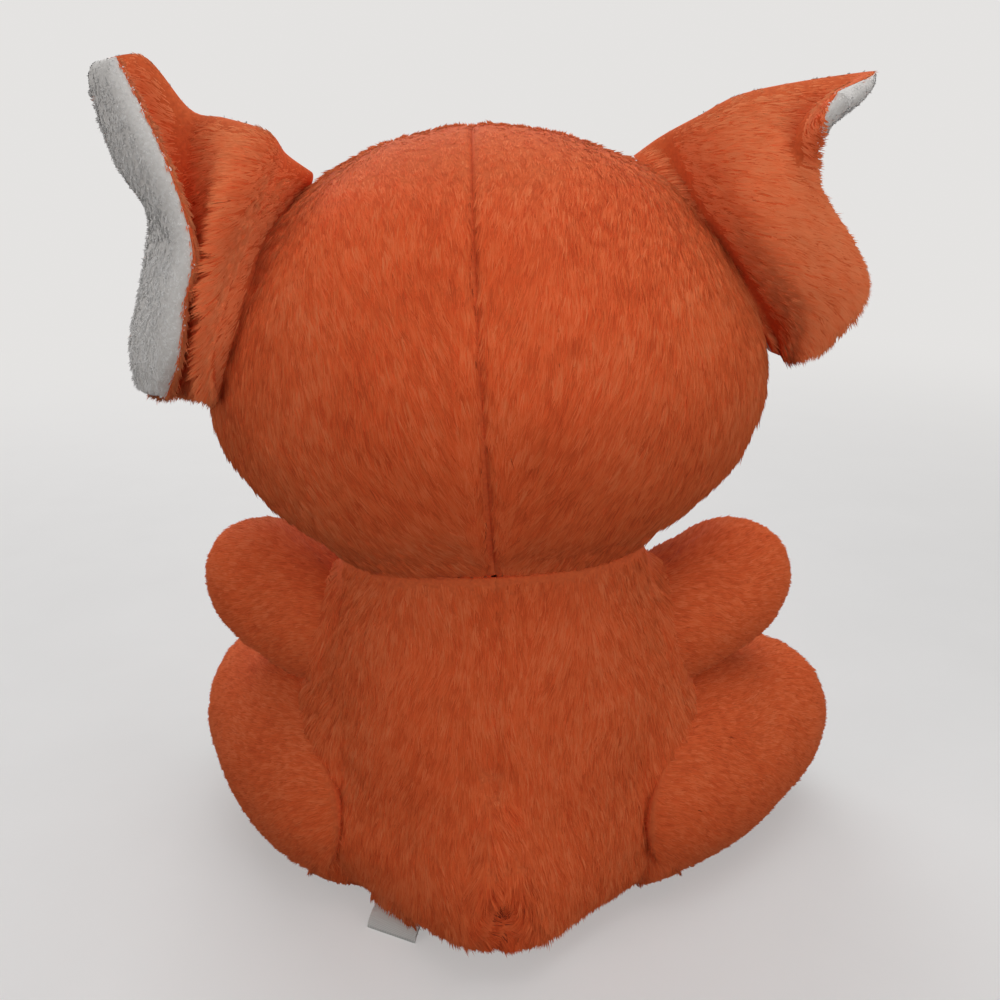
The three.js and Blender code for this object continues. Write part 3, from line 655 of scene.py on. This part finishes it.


# The darkest stop is there mostly for the painted shade in the head's back seam and in the pucker's hollow
ORANGE_TONES = (
    (0.04, colour(120, 40, 17)), (0.22, colour(210, 82, 35)),
    (0.5, colour(239, 110, 55)), (0.95, colour(253, 148, 95)),
)
CREAM_TONES = ((0.05, colour(226, 220, 216)), (0.5, colour(243, 239, 237)), (0.95, colour(252, 250, 249)))
# Painted shade: each strand darkens towards its root, where the pile would shade itself
ORANGE_ROOT_SHADE = ((0.0, (0.86, 0.8, 0.76, 1)), (0.5, (0.96, 0.94, 0.93, 1)), (1.0, (1, 1, 1, 1)))
CREAM_ROOT_SHADE = ((0.0, (0.9, 0.88, 0.87, 1)), (0.5, (0.97, 0.97, 0.96, 1)), (1.0, (1, 1, 1, 1)))
orange_pile = pile_material("orange_pile", ORANGE_TONES, ORANGE_ROOT_SHADE, 0.45)
cream_pile = pile_material("cream_pile", CREAM_TONES, CREAM_ROOT_SHADE, 0.15)
# After its two tones, a grain has its size in millimetres, roughness and bump
orange_skin = grain_material("orange_knit", colour(218, 94, 44), colour(236, 110, 54), 0.9, 0.9, 0.5)
cream_skin = grain_material("cream_knit", colour(226, 222, 218), colour(240, 237, 234), 0.9, 0.9, 0.5)
filling = grain_material("white_fibre", colour(214, 214, 210), colour(244, 244, 240), 1.5, 0.95, 0.8)
black_plastic = grain_material("black_plastic", colour(14, 12, 12), colour(24, 21, 20), 0.6, 0.16, 0.02)
white_plastic = grain_material("white_plastic", colour(214, 212, 206), colour(232, 230, 226), 0.8, 0.5, 0.05)
thread = grain_material("black_thread", colour(20, 16, 15), colour(46, 38, 35), 0.4, 0.7, 0.6, 0.1)
tape = woven_material("woven_tape", colour(224, 224, 221), colour(244, 244, 241), 0.3)

# Pile styles: lengths, locks and lift, millimetres and degrees
LONG = dict(length=5.6, width=0.26, rise=(15, 1), loft=4, lock=1.6, lock_swing=11, swing=9, gather=0.5)
SHORT = dict(length=2.8, width=0.24, rise=(24, 5), loft=6, lock=1.1, lock_swing=8, swing=9, gather=0.3)
FLEECE = dict(length=2.0, width=0.3, rise=(28, 8), loft=7, lock=1.4, lock_swing=60, swing=40, gather=0.5)
CROPPED = dict(length=2.0, width=0.26, rise=(34, 10), loft=7, lock=1.0, lock_swing=30, swing=25, gather=0.3)

DOWN = np.array((0.0, 0.0, -1.0))


def soft(piece, bodies, nodes, slot, joint=None):
    """Hangs a soft piece on its body, or with a joint bakes its place into its mesh, and hides the parts
    that it stands for.
    """
    if joint is None:
        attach(piece, bodies[0])
    else:
        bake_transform(piece)
    if nodes:
        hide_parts(*nodes)


# Bodies and bend points at the neck, for the head's pieces and for the collar's
HEAD_BODIES, NECK_BEND = ["neck", "head"], (np.array((0.0, 0.0, 100.0)), np.array((0.0, 0.0, 135.0)))
BODY_BODIES, COLLAR_BEND = ["torso", "neck"], (np.array((0.0, 0.0, 84.0)), np.array((0.0, 0.0, 102.0)))

# Camera at the photograph's place
camera = bpy.data.objects.new("camera", bpy.data.cameras.new("camera"))
camera.location = (-0.001, 0.251, 0.200)
camera.rotation_euler = (math.radians(69.6), 0, math.radians(180))
camera.data.lens, camera.data.sensor_width = 37.98, 36
camera.data.clip_start = 0.01
bpy.context.collection.objects.link(camera)
bpy.context.scene.camera = camera

# Head
def no_trim(p, rise):
    return p


head = Form(head_shape, head_relief, HEAD_PLACE, no_trim)
POLE_TO_POLE = np.linspace(0, np.pi, 97)
for name, start, stop in (("head_back_left", 0, 90), ("head_back_right", 90, 180), ("head_face", 180, 360)):
    us = np.radians(np.linspace(start, stop, (stop - start) // 2 + 1))
    piece = cover(name + "_cover", head, us, POLE_TO_POLE, orange_skin)
    soft(piece, HEAD_BODIES, [name], "orange_plush", NECK_BEND)
piece = wad("head_wadding", head, depth=4.2, seed=31)
soft(piece, HEAD_BODIES, ["head_filling"], "fibre_filling", NECK_BEND)

EYES = (
    ("left", np.array((33.49, -54.53, 147.97)), unit(np.array((0.379, -0.917, 0.125)))),
    ("right", np.array((-27.77, -54.53, 151.19)), unit(np.array((-0.364, -0.917, 0.164)))),
)
NOSE_AT, NOSE_NORMAL = np.array((1.86, -74.11, 130.57)), unit(np.array((0.022, -0.910, 0.415)))
EYE_CLEAR, EYE_SHORT, NOSE_CLEAR = 5.5, 12, 8.5
NO_SEAM = 99


def muzzle_level(p):
    q = (HEAD_PLACE.back(p) - MUZZLE_MIDDLE) / MUZZLE_RADII
    return (np.linalg.norm(q, axis=-1) - 1) * MUZZLE_RADII[2]


d, p, n = scatter_form(head, PLUSH_DENSITY)
to_eye = np.min([np.linalg.norm(p - at, axis=-1) for _, at, _ in EYES], axis=0)
clear = (body_level(p) > 1.2) & (muzzle_level(p) > -0.5) & (to_eye > EYE_CLEAR)
clear &= (np.abs(HEAD_PLACE.back(p)[:, 0]) > 0.5) | (d[:, 1] < 0)
d, p, n, to_eye = picked(clear, d, p, n, to_eye)
q = HEAD_PLACE.back(p) - HEAD_MIDDLE
behind, on_left = d[:, 1] > 0, q[:, 0] > 0
across, high = np.abs(q[:, 0]), ramp(q[:, 2], 5, 50)
low = 1 - ramp(q[:, 2], -40, 25)
# The pile lies down and in to the seam, and at the top also out to the ears and away from the crown
inward = (0.3 + np.where(on_left, 0.4, 0.1) * low) * ramp(across, 1.5, 9)
inward *= 1 - ramp(across, 26, 50) * high
outward = 0.35 * high * ramp(across, 34, 56)
back = np.where(behind, 0.8, -0.5) * high
drift = noise_each_way(p, 16, 41) * 0.3 * ramp(across, 2, 8)[:, None]
flow = laid(np.stack((np.sign(q[:, 0]) * (outward - inward), back, -np.ones(len(p))), -1) + drift, n)
seam_gap = np.where(behind, across, NO_SEAM)
short = 0.55 + 0.45 * ramp(seam_gap, 0.4, 2.5)
short *= 0.45 + 0.55 * ramp(to_eye, EYE_CLEAR, EYE_SHORT)
by_neck, by_crown = 0.4 + 0.6 * ramp(body_level(p), 1, 8), 1 - 0.5 * ramp(d[:, 2], 0.7, 0.92)
short *= np.where(behind, 1.0, 0.85) * by_neck * by_crown
# Painted shade: the pile is darker along the back seam, in its groove
shade = ridge(seam_gap, height=-0.4, width=0.8) + 0.08 * noise(p, 14, 44)
panel = np.where(behind, 0, 2) + np.where(on_left, 0, 1)
for k, name in enumerate(("head_back_left", "head_back_right", "head_face_left", "head_face_right")):
    on = panel == k
    for piece in strands(name + "_pile", p[on], n[on], flow[on], LONG, orange_pile, short[on], shade[on]):
        soft(piece, HEAD_BODIES, [], "orange_plush", NECK_BEND)

# Muzzle
def muzzle_trim(p, rise):
    return pushed(p, head_level, -1.0 - rise - SKIN_DEPTH, (0, -1, 0))


muzzle = Form(muzzle_shape, muzzle_relief, HEAD_PLACE, muzzle_trim)
us = np.linspace(-np.pi / 2, 3 * np.pi / 2, 65)
piece = cover("muzzle_cover", muzzle, us, np.linspace(0, np.pi, 49), cream_skin)
soft(piece, HEAD_BODIES, ["muzzle"], "cream_plush", NECK_BEND)
d, p, n = scatter_form(muzzle, MUZZLE_DENSITY)
clear = (head_level(p) > -0.3) & (np.linalg.norm((p - NOSE_AT) * (1, 1, 1.4), axis=-1) > NOSE_CLEAR)
d, p, n = picked(clear, d, p, n)
flow = laid(d * (0.8, 0, 0) + (0, 0.6, -0.7), n)
for piece in strands("muzzle_pile", p, n, flow, CROPPED, cream_pile):
    soft(piece, HEAD_BODIES, [], "cream_plush", NECK_BEND)


def muzzle_inside(p, rise):
    return pushed(p, head_level, 1.0, (0, -1, 0))


inside = Form(muzzle_shape, muzzle_relief, HEAD_PLACE, muzzle_inside)
piece = wad("muzzle_wadding", inside, depth=4.5, seed=32)
soft(piece, HEAD_BODIES, ["muzzle_filling"], "fibre_filling", NECK_BEND)


# Body
def body_trim(p, rise):
    p = pushed(p, head_level, NECK_CLEAR - rise - SKIN_DEPTH, DOWN)
    return above_table(p, TABLE_CLEAR - min(0, rise + SKIN_DEPTH))


body = Form(body_shape, body_relief, WORLD_PLACE, body_trim)
seat_v = math.pi - math.acos((BODY_WIDEST - SEAT_SEAM) / (BODY_WIDEST + SEAT_FLAT))
side_u = -SIDE_SEAM_TURN
upper_v = np.linspace(0, seat_v, 81)
for name, start, stop in (
    ("body_back_left", side_u, np.pi / 2),
    ("body_back_right", np.pi / 2, np.pi - side_u),
    ("body_belly", np.pi - side_u, 2 * np.pi + side_u),
):
    skin, slot = (cream_skin, "cream_plush") if name == "body_belly" else (orange_skin, "orange_plush")
    piece = cover(name + "_cover", body, np.linspace(start, stop, 65), upper_v, skin)
    soft(piece, BODY_BODIES, [name], slot, COLLAR_BEND)
seat_us = np.linspace(0, 2 * np.pi, 161)
seat = cover("seat_cover", body, seat_us, np.linspace(seat_v, np.pi, 25), orange_skin)
soft(seat, ["torso"], ["seat_panel"], "orange_plush")
piece = wad("body_wadding", body, depth=5.0, seed=33)
soft(piece, BODY_BODIES, ["body_filling"], "fibre_filling", COLLAR_BEND)

TAB_NEAR, BELLY_PILE_TOP = 9, 84
d, p, n = scatter_form(body, PLUSH_DENSITY)
clear = (body_level(p) > -6) & (head_level(p) > 0.7) & (n[:, 2] > -0.6) & (p[:, 2] > 1.5)
for _, _, _, level in LIMBS:
    clear &= (level(p) > -2.5) & ((p[:, 2] > 10) | (level(p) > 4))
d, p, n = picked(clear, d, p, n)
behind = ramp(d[:, 1], 0.0, 0.3)
# The pile lies down, out to the sides, and from all round towards the pucker
to_pucker = np.stack((PUCKER[0] - p[:, 0], 0 * p[:, 0], PUCKER[1] - p[:, 2]), -1)
from_pucker = np.linalg.norm(to_pucker, axis=-1)
near = hump(from_pucker, 16) * behind * ramp(p[:, 2], 12, 19)
flow = DOWN + noise_each_way(p, 15, 51) * 0.5 + 1.2 * unit(to_pucker) * near[:, None]
apart = 0.25 * (1 - behind) + np.where(p[:, 0] < 0, 0.4, 0.1) * ramp(np.abs(p[:, 0]), 12, 45) * behind
flow = laid(flow + np.stack((apart * np.sign(p[:, 0]), 0 * near, 0 * near), -1), n)
short = 1 - 0.75 * hump(np.linalg.norm(to_pucker + (0, 0, 1.5), axis=-1), 5.5) * behind
short *= np.where(d[:, 1] > -0.15, 1.0, 0.8)
short *= 0.6 + 0.4 * ramp(head_level(p), 1, 5)
by_tab = np.linalg.norm(p - TAB_AT, axis=-1) < TAB_NEAR
short *= np.where(by_tab, 1.25, 0.32 + 0.68 * ramp(p[:, 2], 5, 20))
for _, _, _, level in LIMBS:
    short *= 0.3 + 0.7 * ramp(level(p), -2, 6)
# Painted shade: the pile darkens into the pucker's hollow
shade = 0.08 * noise(p, 14, 54) - ridge(from_pucker, height=0.4, width=6) * behind
turned = np.arctan2(d[:, 1], np.abs(d[:, 0]))
panel = np.where(turned > side_u, np.where(d[:, 0] > 0, 0, 1), 2)
panel = np.where(p[:, 2] < SEAT_SEAM, 3, panel)
clear = (panel != 2) | (p[:, 2] < BELLY_PILE_TOP)
p, n, flow, short, shade, panel = picked(clear, p, n, flow, short, shade, panel)
for k, name in enumerate(("body_back_left", "body_back_right", "body_belly", "seat")):
    on = panel == k
    hair, slot = (cream_pile, "cream_plush") if name == "body_belly" else (orange_pile, "orange_plush")
    for piece in strands(name + "_pile", p[on], n[on], flow[on], LONG, hair, short[on], shade[on]):
        soft(piece, BODY_BODIES, [], slot, COLLAR_BEND)

# Neck
NECK_RADIUS = 13.0
neck_place = Place(np.eye(3), NECK)
neck_form = Form(lambda d, rise: d * NECK_RADIUS, lambda d: np.zeros(d.shape[:-1]), neck_place, no_trim)
piece = wad("neck_wadding", neck_form, depth=0, seed=34)
soft(piece, ["neck"], ["neck_filling"], "fibre_filling")

# Arms and legs
for spec, side_name, place, level in LIMBS:
    label = side_name + "_" + spec["kind"]
    is_leg = spec is LEG
    away = place.turned[:, 0]

    def limb_trim(p, rise, away=away):
        p = pushed(p, body_level, -0.6 - rise - SKIN_DEPTH, away)
        p = pushed(p, head_level, 1.0 - rise - SKIN_DEPTH, DOWN)
        return above_table(p, TABLE_CLEAR - min(0, rise + SKIN_DEPTH))

    limb = Form(limb_shape(spec), limb_relief(spec, place, 61), place, limb_trim)
    bend_start, bend_length = spec["bend"]
    root = place.offset + away * bend_start
    joint = (root, root + away * bend_length)
    bodies = ["torso", label]
    tip_v = math.acos((spec["length"] - SOLE_DEPTH) / (spec["length"] / 2) - 1) if is_leg else 0.0
    vs = np.linspace(tip_v, np.pi, 65)
    for half, start in zip(spec["halves"], (-90, 90)):
        us = np.radians(np.linspace(start, start + 180, 49))
        piece = cover(f"{label}_{half}_cover", limb, us, vs, orange_skin)
        soft(piece, bodies, [f"{label}_{half}"], "orange_plush", joint)
    if is_leg:
        us = np.linspace(0, 2 * np.pi, 97)
        piece = cover(f"{side_name}_foot_sole_cover", limb, us, np.linspace(0, tip_v, 13), cream_skin)
        soft(piece, bodies, [f"{side_name}_foot_sole"], "cream_plush", joint)
    piece = wad(f"{label}_wadding", limb, depth=4.5, seed=35)
    soft(piece, bodies, [f"{label}_filling"], "fibre_filling", joint)

    d, p, n = scatter_form(limb, LIMB_DENSITY)
    clear = (body_level(p) > -2.5) & (head_level(p) > 0.8) & (p[:, 2] > 1.2)
    for _, _, _, other_level in LIMBS:
        if other_level is not level:
            clear &= other_level(p) > 0.0
    d, p, n = picked(clear, d, p, n)
    flow = laid(away + 0.55 * DOWN + noise_each_way(p, 14, 71) * 0.35, n)
    sole = d[:, 2] > math.cos(tip_v) if is_leg else np.zeros(len(p), bool)
    shade = 0.06 * noise(p, 12, 74)
    short = 0.2 + 0.8 * ramp(p[:, 2], 1, 9)
    for half, on_half in zip(spec["halves"], (d[:, 0] > 0, d[:, 0] <= 0)):
        on, name = ~sole & on_half, f"{label}_{half}_pile"
        for piece in strands(name, p[on], n[on], flow[on], SHORT, orange_pile, short[on], shade[on]):
            soft(piece, bodies, [], "orange_plush", joint)
    if is_leg:
        name = f"{side_name}_foot_sole_pile"
        for piece in strands(name, p[sole], n[sole], flow[sole], CROPPED, cream_pile, 1.0, shade[sole]):
            soft(piece, bodies, [], "cream_plush", joint)


# Ears: two plies on one folded middle sheet
def spline(x, count):
    """The four points about each place on a smooth line through count points, and their shares."""
    x = np.clip(x, 0, 1) * (count - 1)
    first = np.minimum(x.astype(int), count - 2)
    f = (x - first)[..., None]
    share = -f + 2 * f**2 - f**3, 2 - 5 * f**2 + 3 * f**3, f + 4 * f**2 - 3 * f**3, -(f**2) + f**3
    return first[..., None] + np.arange(4), np.concatenate(share, -1) / 2


def ear_sheet(net, s, t):
    """The middle sheet: s runs up the root, t runs out to the free edge."""
    i, along = spline(s, net.shape[0] - 2)
    j, out = spline(t, net.shape[1] - 2)
    return np.einsum("...a,...b,...abk->...k", along, out, net[i[..., :, None], j[..., None, :]])


def extended(net):
    """One more row and column past each edge, so that a line runs through the edge points."""
    net = np.asarray(net, float)
    net = np.concatenate((2 * net[:1] - net[1:2], net, 2 * net[-1:] - net[-2:-1]))
    return np.concatenate((2 * net[:, :1] - net[:, 1:2], net, 2 * net[:, -1:] - net[:, -2:-1]), 1)


EAR_BACK_PUFF, EAR_LINING_PUFF, EAR_ROUND, EAR_TALL = 1.6, 3.2, 5.0, 70.0
# The ears' pile, back and lining, is made a lighter tone: painted light, as if the ears caught more light
EAR_STEP, EAR_BEND, EAR_PAINTED_LIGHT, LINING_PILE_FROM = 0.01, 10, 0.34, 0.3
EAR_ROWS, EAR_COLUMNS, EAR_PILE_STEPS = 71, 61, 121


def close_at_ends(count):
    """Steps from 0 to 1 that are smaller at both ends."""
    return (1 - np.cos(np.linspace(0, np.pi, count))) / 2


def ear_steps(net, s, t):
    """The steps of the middle sheet up the root and out to the free edge, and how far its rim is."""
    s0, s1 = np.maximum(s - EAR_STEP, 0), np.minimum(s + EAR_STEP, 1)
    t0, t1 = np.maximum(t - EAR_STEP, 0), np.minimum(t + EAR_STEP, 1)
    up = ear_sheet(net, s1, t) - ear_sheet(net, s0, t)
    away = ear_sheet(net, s, t1) - ear_sheet(net, s, t0)
    wide = np.linalg.norm(away, axis=-1) / (t1 - t0)
    return up, away, np.minimum(np.minimum(s, 1 - s) * EAR_TALL, (1 - t) * wide)


def ear_ply(net, side, s, t, puff):
    """A point on a ply, which swells from the middle sheet and thins out to the ear's edge."""
    puff = puff * (1 if puff > 0 else 0.3 + 0.7 * ramp(t, 0.5, 0.8))
    up, away, room = ear_steps(net, s, t)
    swell = np.sqrt(np.maximum(0, 1 - (1 - np.clip(room / EAR_ROUND, 0, 1)) ** 2))
    normal = unit(np.cross(up, away)) * side
    return ear_sheet(net, s, t) + normal * (puff * swell)[..., None]


for side_name, side in SIDES.items():
    net = extended(EAR_NET[side_name])
    roots, rims = (np.mean([row[k] for row in EAR_NET[side_name]], axis=0) for k in (0, -2))
    joint = (roots, roots + EAR_BEND * unit(rims - roots))
    bodies = ["head", side_name + "_ear"]
    s_grid, t_grid = np.meshgrid(close_at_ends(EAR_ROWS), close_at_ends(EAR_COLUMNS), indexing="ij")
    for ply, puff, sheet_puff, skin, slot in (
        ("back", EAR_BACK_PUFF, 0.1, orange_skin, "orange_plush"),
        ("lining", -EAR_LINING_PUFF, -0.1, cream_skin, "cream_plush"),
    ):
        outer = ear_ply(net, side, s_grid, t_grid, puff)
        inner = ear_ply(net, side, s_grid, t_grid, sheet_puff)
        points, faces = closed_shell(outer, inner)
        if side * puff < 0:
            faces = faces[:, ::-1]
        piece = make_mesh(f"{side_name}_ear_{ply}_cover", points, faces, skin)
        soft(piece, bodies, [f"{side_name}_ear_{ply}"], slot, joint)

        close = close_at_ends(EAR_PILE_STEPS)
        s, t, p, n = scatter(lambda s, t: ear_ply(net, side, s, t, puff), close, close, PLUSH_DENSITY)
        n = -n * side * np.sign(puff)
        keep = head_level(p) > -1.0
        if ply == "lining":
            keep &= t > LINING_PILE_FROM
        s, t, p, n = picked(keep, s, t, p, n)
        up, away, room = ear_steps(net, s, t)
        slope = np.radians(15 + 50 * (1 - s))[:, None]
        flow = laid(unit(away) * np.cos(slope) - unit(up) * np.sin(slope), n)
        style, hair = (LONG, orange_pile) if ply == "back" else (FLEECE, cream_pile)
        short = 0.85 * (0.35 + 0.65 * ramp(room, 0, 6))
        for piece in strands(f"{side_name}_ear_{ply}_pile", p, n, flow, style, hair, short, EAR_PAINTED_LIGHT):
            soft(piece, bodies, [], slot, joint)


# Eyes, nose and mouth
ROUND_STEPS, DOME_STEPS, THREAD_STEPS = 65, 17, 9
THREAD_THICK = 1.3
POST = (0, -3.0), (2.0, -3.0), (2.0, -1.0)


def domed(radius, height, under, power=1):
    """The profile of a dome on a post, with the radius of its flat under side."""
    turns = np.linspace(0, math.pi / 2, DOME_STEPS)[:-1]
    dome = [(radius * math.cos(a) ** power, height * math.sin(a)) for a in turns]
    return [*POST, (under, -0.9), (radius - 0.1, -0.5), *dome, (0, height)]


def spun(name, profile, at, normal, material, squeeze=None):
    """A turned solid: profile is (radius, height) from its lower middle to its top, along normal."""
    side = unit(np.cross(np.array((0.0, 0.0, 1.0)), normal))
    up = np.cross(normal, side)
    angles = np.linspace(0, 2 * np.pi, ROUND_STEPS)
    reach = np.ones((ROUND_STEPS, 2)) if squeeze is None else squeeze(angles)
    r, h = np.array(profile).T
    x = r[:, None] * np.cos(angles) * reach[:, 0]
    y = r[:, None] * np.sin(angles) * reach[:, 1]
    p = at + x[..., None] * side + y[..., None] * up + h[:, None, None] * normal
    return grid_mesh(name, p, material, flip=True)


def plastic(piece, node):
    """Hangs an eye or the nose on the head."""
    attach(piece, "head")
    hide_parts(node)


for side_name, at, normal in EYES:
    profile = domed(radius=6.5, height=4.5, under=6.0)
    plastic(spun(f"{side_name}_eye_dome", profile, at, normal, black_plastic), f"{side_name}_eye")


def nose_outline(a):
    """Wider above and drawn to a soft point below."""
    wide = 1 + 0.12 * np.sin(a)
    return np.stack((wide, 0.74 + 0.06 * np.cos(2 * a)), -1)


profile = domed(radius=10, height=6, under=9.4, power=0.8)
plastic(spun("nose_cap", profile, NOSE_AT, NOSE_NORMAL, black_plastic, nose_outline), "nose")


def stitch(name, line):
    """A thread laid over the muzzle: line gives directions from the muzzle's middle."""
    p = muzzle.at(unit(np.array(line)), -0.2)
    along = unit(np.gradient(p, axis=0))
    out = unit(p - HEAD_PLACE.out(MUZZLE_MIDDLE))
    side = unit(np.cross(along, out))
    out = np.cross(side, along)
    angles = np.linspace(0, 2 * np.pi, THREAD_STEPS)
    radius = np.sin(np.linspace(0, np.pi, len(p))) ** 0.3 * THREAD_THICK / 2
    ring = np.cos(angles)[None, :, None] * side[:, None] + np.sin(angles)[None, :, None] * out[:, None]
    return grid_mesh(name, p[:, None] + radius[:, None, None] * ring, thread, flip=True)


steps = np.linspace(0, 1, 25)
ahead = np.full(len(steps), -1.0)
MOUTH = dict(middle=np.stack((0 * steps, ahead, 0.1 - 0.55 * steps), -1))
for side_name, side in SIDES.items():
    sweep = np.radians(150 * steps)
    across, height = side * 0.26 * (1 - np.cos(sweep)), -0.42 - 0.16 * np.sin(sweep)
    MOUTH[side_name] = np.stack((across, ahead, height), -1)
for name, line in MOUTH.items():
    piece = stitch(f"mouth_{name}_stitch", line)
    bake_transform(piece)

# Pieces that are seen as the solids they are: washers and tab
washers = dict.fromkeys(("left_eye_washer", "right_eye_washer", "nose_washer"), white_plastic)
for node, material in dict(washers, seat_tab=tape).items():
    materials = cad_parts[node].data.materials
    materials.clear()
    materials.append(material)

# Stage and light
SIDE_LIGHT, TOP_LIGHT, BACKDROP = 0.18, 0.24, 0.78
ROOM_COLOUR = (1.0, 0.985, 0.97, 1)


def seen_straight(nodes, links):
    """1 for a ray from the camera, or on from it by a reflection or through glass, and 0 for any other."""
    rays = nodes.new("ShaderNodeLightPath")
    total = rays.outputs["Is Camera Ray"]
    for kind in ("Is Glossy Ray", "Is Transmission Ray"):
        both = nodes.new("ShaderNodeMath")
        both.operation, both.use_clamp = "ADD", True
        links.new(total, both.inputs[0])
        links.new(rays.outputs[kind], both.inputs[1])
        total = both.outputs[0]
    return total


bpy.ops.mesh.primitive_plane_add(size=6)
floor = bpy.context.object
floor.name = "floor"
pale = grain_material("pale_floor", colour(242, 242, 243), colour(246, 246, 247), 40, 0.8, 0.0)
floor.data.materials.append(pale)
nodes, links = pale.node_tree.nodes, pale.node_tree.links
shader, seen = nodes["Principled BSDF"], nodes.new("ShaderNodeMix")
seen.data_type = "RGBA"
seen.inputs[MIX_A].default_value = colour(84, 76, 70)
straight = seen_straight(nodes, links)
links.new(straight, seen.inputs[0])
links.new(shader.inputs["Base Color"].links[0].from_socket, seen.inputs[MIX_B])
links.new(seen.outputs[MIX_OUT], shader.inputs["Base Color"])
# Far off, the floor runs into the backdrop
kinds = ("TexCoord", "VectorMath", "MapRange", "Emission")
at, far, reach, glow = (nodes.new("ShaderNode" + kind) for kind in kinds)
far.operation = "LENGTH"
reach.interpolation_type = "SMOOTHSTEP"
put(reach, From_Min=0.2, From_Max=0.8, To_Min=0.45)
put(glow, Color=ROOM_COLOUR, Strength=BACKDROP)
seen_far, blended = nodes.new("ShaderNodeMath"), nodes.new("ShaderNodeMixShader")
seen_far.operation = "MULTIPLY"
links.new(at.outputs["Object"], far.inputs[0])
links.new(far.outputs["Value"], reach.inputs["Value"])
links.new(reach.outputs[0], seen_far.inputs[0])
links.new(straight, seen_far.inputs[1])
links.new(seen_far.outputs[0], blended.inputs[0])
links.new(shader.outputs[0], blended.inputs[1])
links.new(glow.outputs[0], blended.inputs[2])
links.new(blended.outputs[0], nodes["Material Output"].inputs["Surface"])

# The room is lighter overhead than at the sides, and the camera sees it as a pale backdrop
world = bpy.data.worlds.new("studio")
bpy.context.scene.world = world
world.use_nodes = True
nodes, links = world.node_tree.nodes, world.node_tree.links
at, split = nodes.new("ShaderNodeTexCoord"), nodes.new("ShaderNodeSeparateXYZ")
overhead = nodes.new("ShaderNodeMapRange")
put(overhead, From_Min=0.0, From_Max=1.0, To_Min=SIDE_LIGHT, To_Max=TOP_LIGHT)
seen = nodes.new("ShaderNodeMix")
put(seen, B=BACKDROP)
room = nodes["Background"]
put(room, Color=ROOM_COLOUR)
links.new(at.outputs["Generated"], split.inputs[0])
links.new(split.outputs["Z"], overhead.inputs["Value"])
links.new(overhead.outputs[0], seen.inputs["A"])
links.new(seen_straight(nodes, links), seen.inputs["Factor"])
links.new(seen.outputs[0], room.inputs["Strength"])


def lamp(name, at, aim, size, spread, power):
    light = bpy.data.objects.new(name, bpy.data.lights.new(name, "AREA"))
    light.data.size, light.data.spread, light.data.energy = size, math.radians(spread), power
    light.location = at
    way = np.array(at) - np.array(aim)
    light.rotation_euler = (math.atan2(math.hypot(way[0], way[1]), way[2]), 0, math.atan2(way[0], -way[1]))
    bpy.context.collection.objects.link(light)


lamp("overhead", (-0.1, 0, 0.6), (0, 0, 0.12), size=0.4, spread=180, power=0.8)
lamp("right", (-0.4, 0.35, 0.25), (-0.03, 0.02, 0.17), size=0.3, spread=75, power=0.16)
lamp("left", (0.45, 0.3, 0.3), (0.05, 0, 0.17), size=0.3, spread=75, power=0.13)
lamp("front", (0.3, -0.9, 0.7), (0, 0, 0.1), size=0.8, spread=180, power=5)

bpy.context.scene.view_settings.view_transform = "Standard"
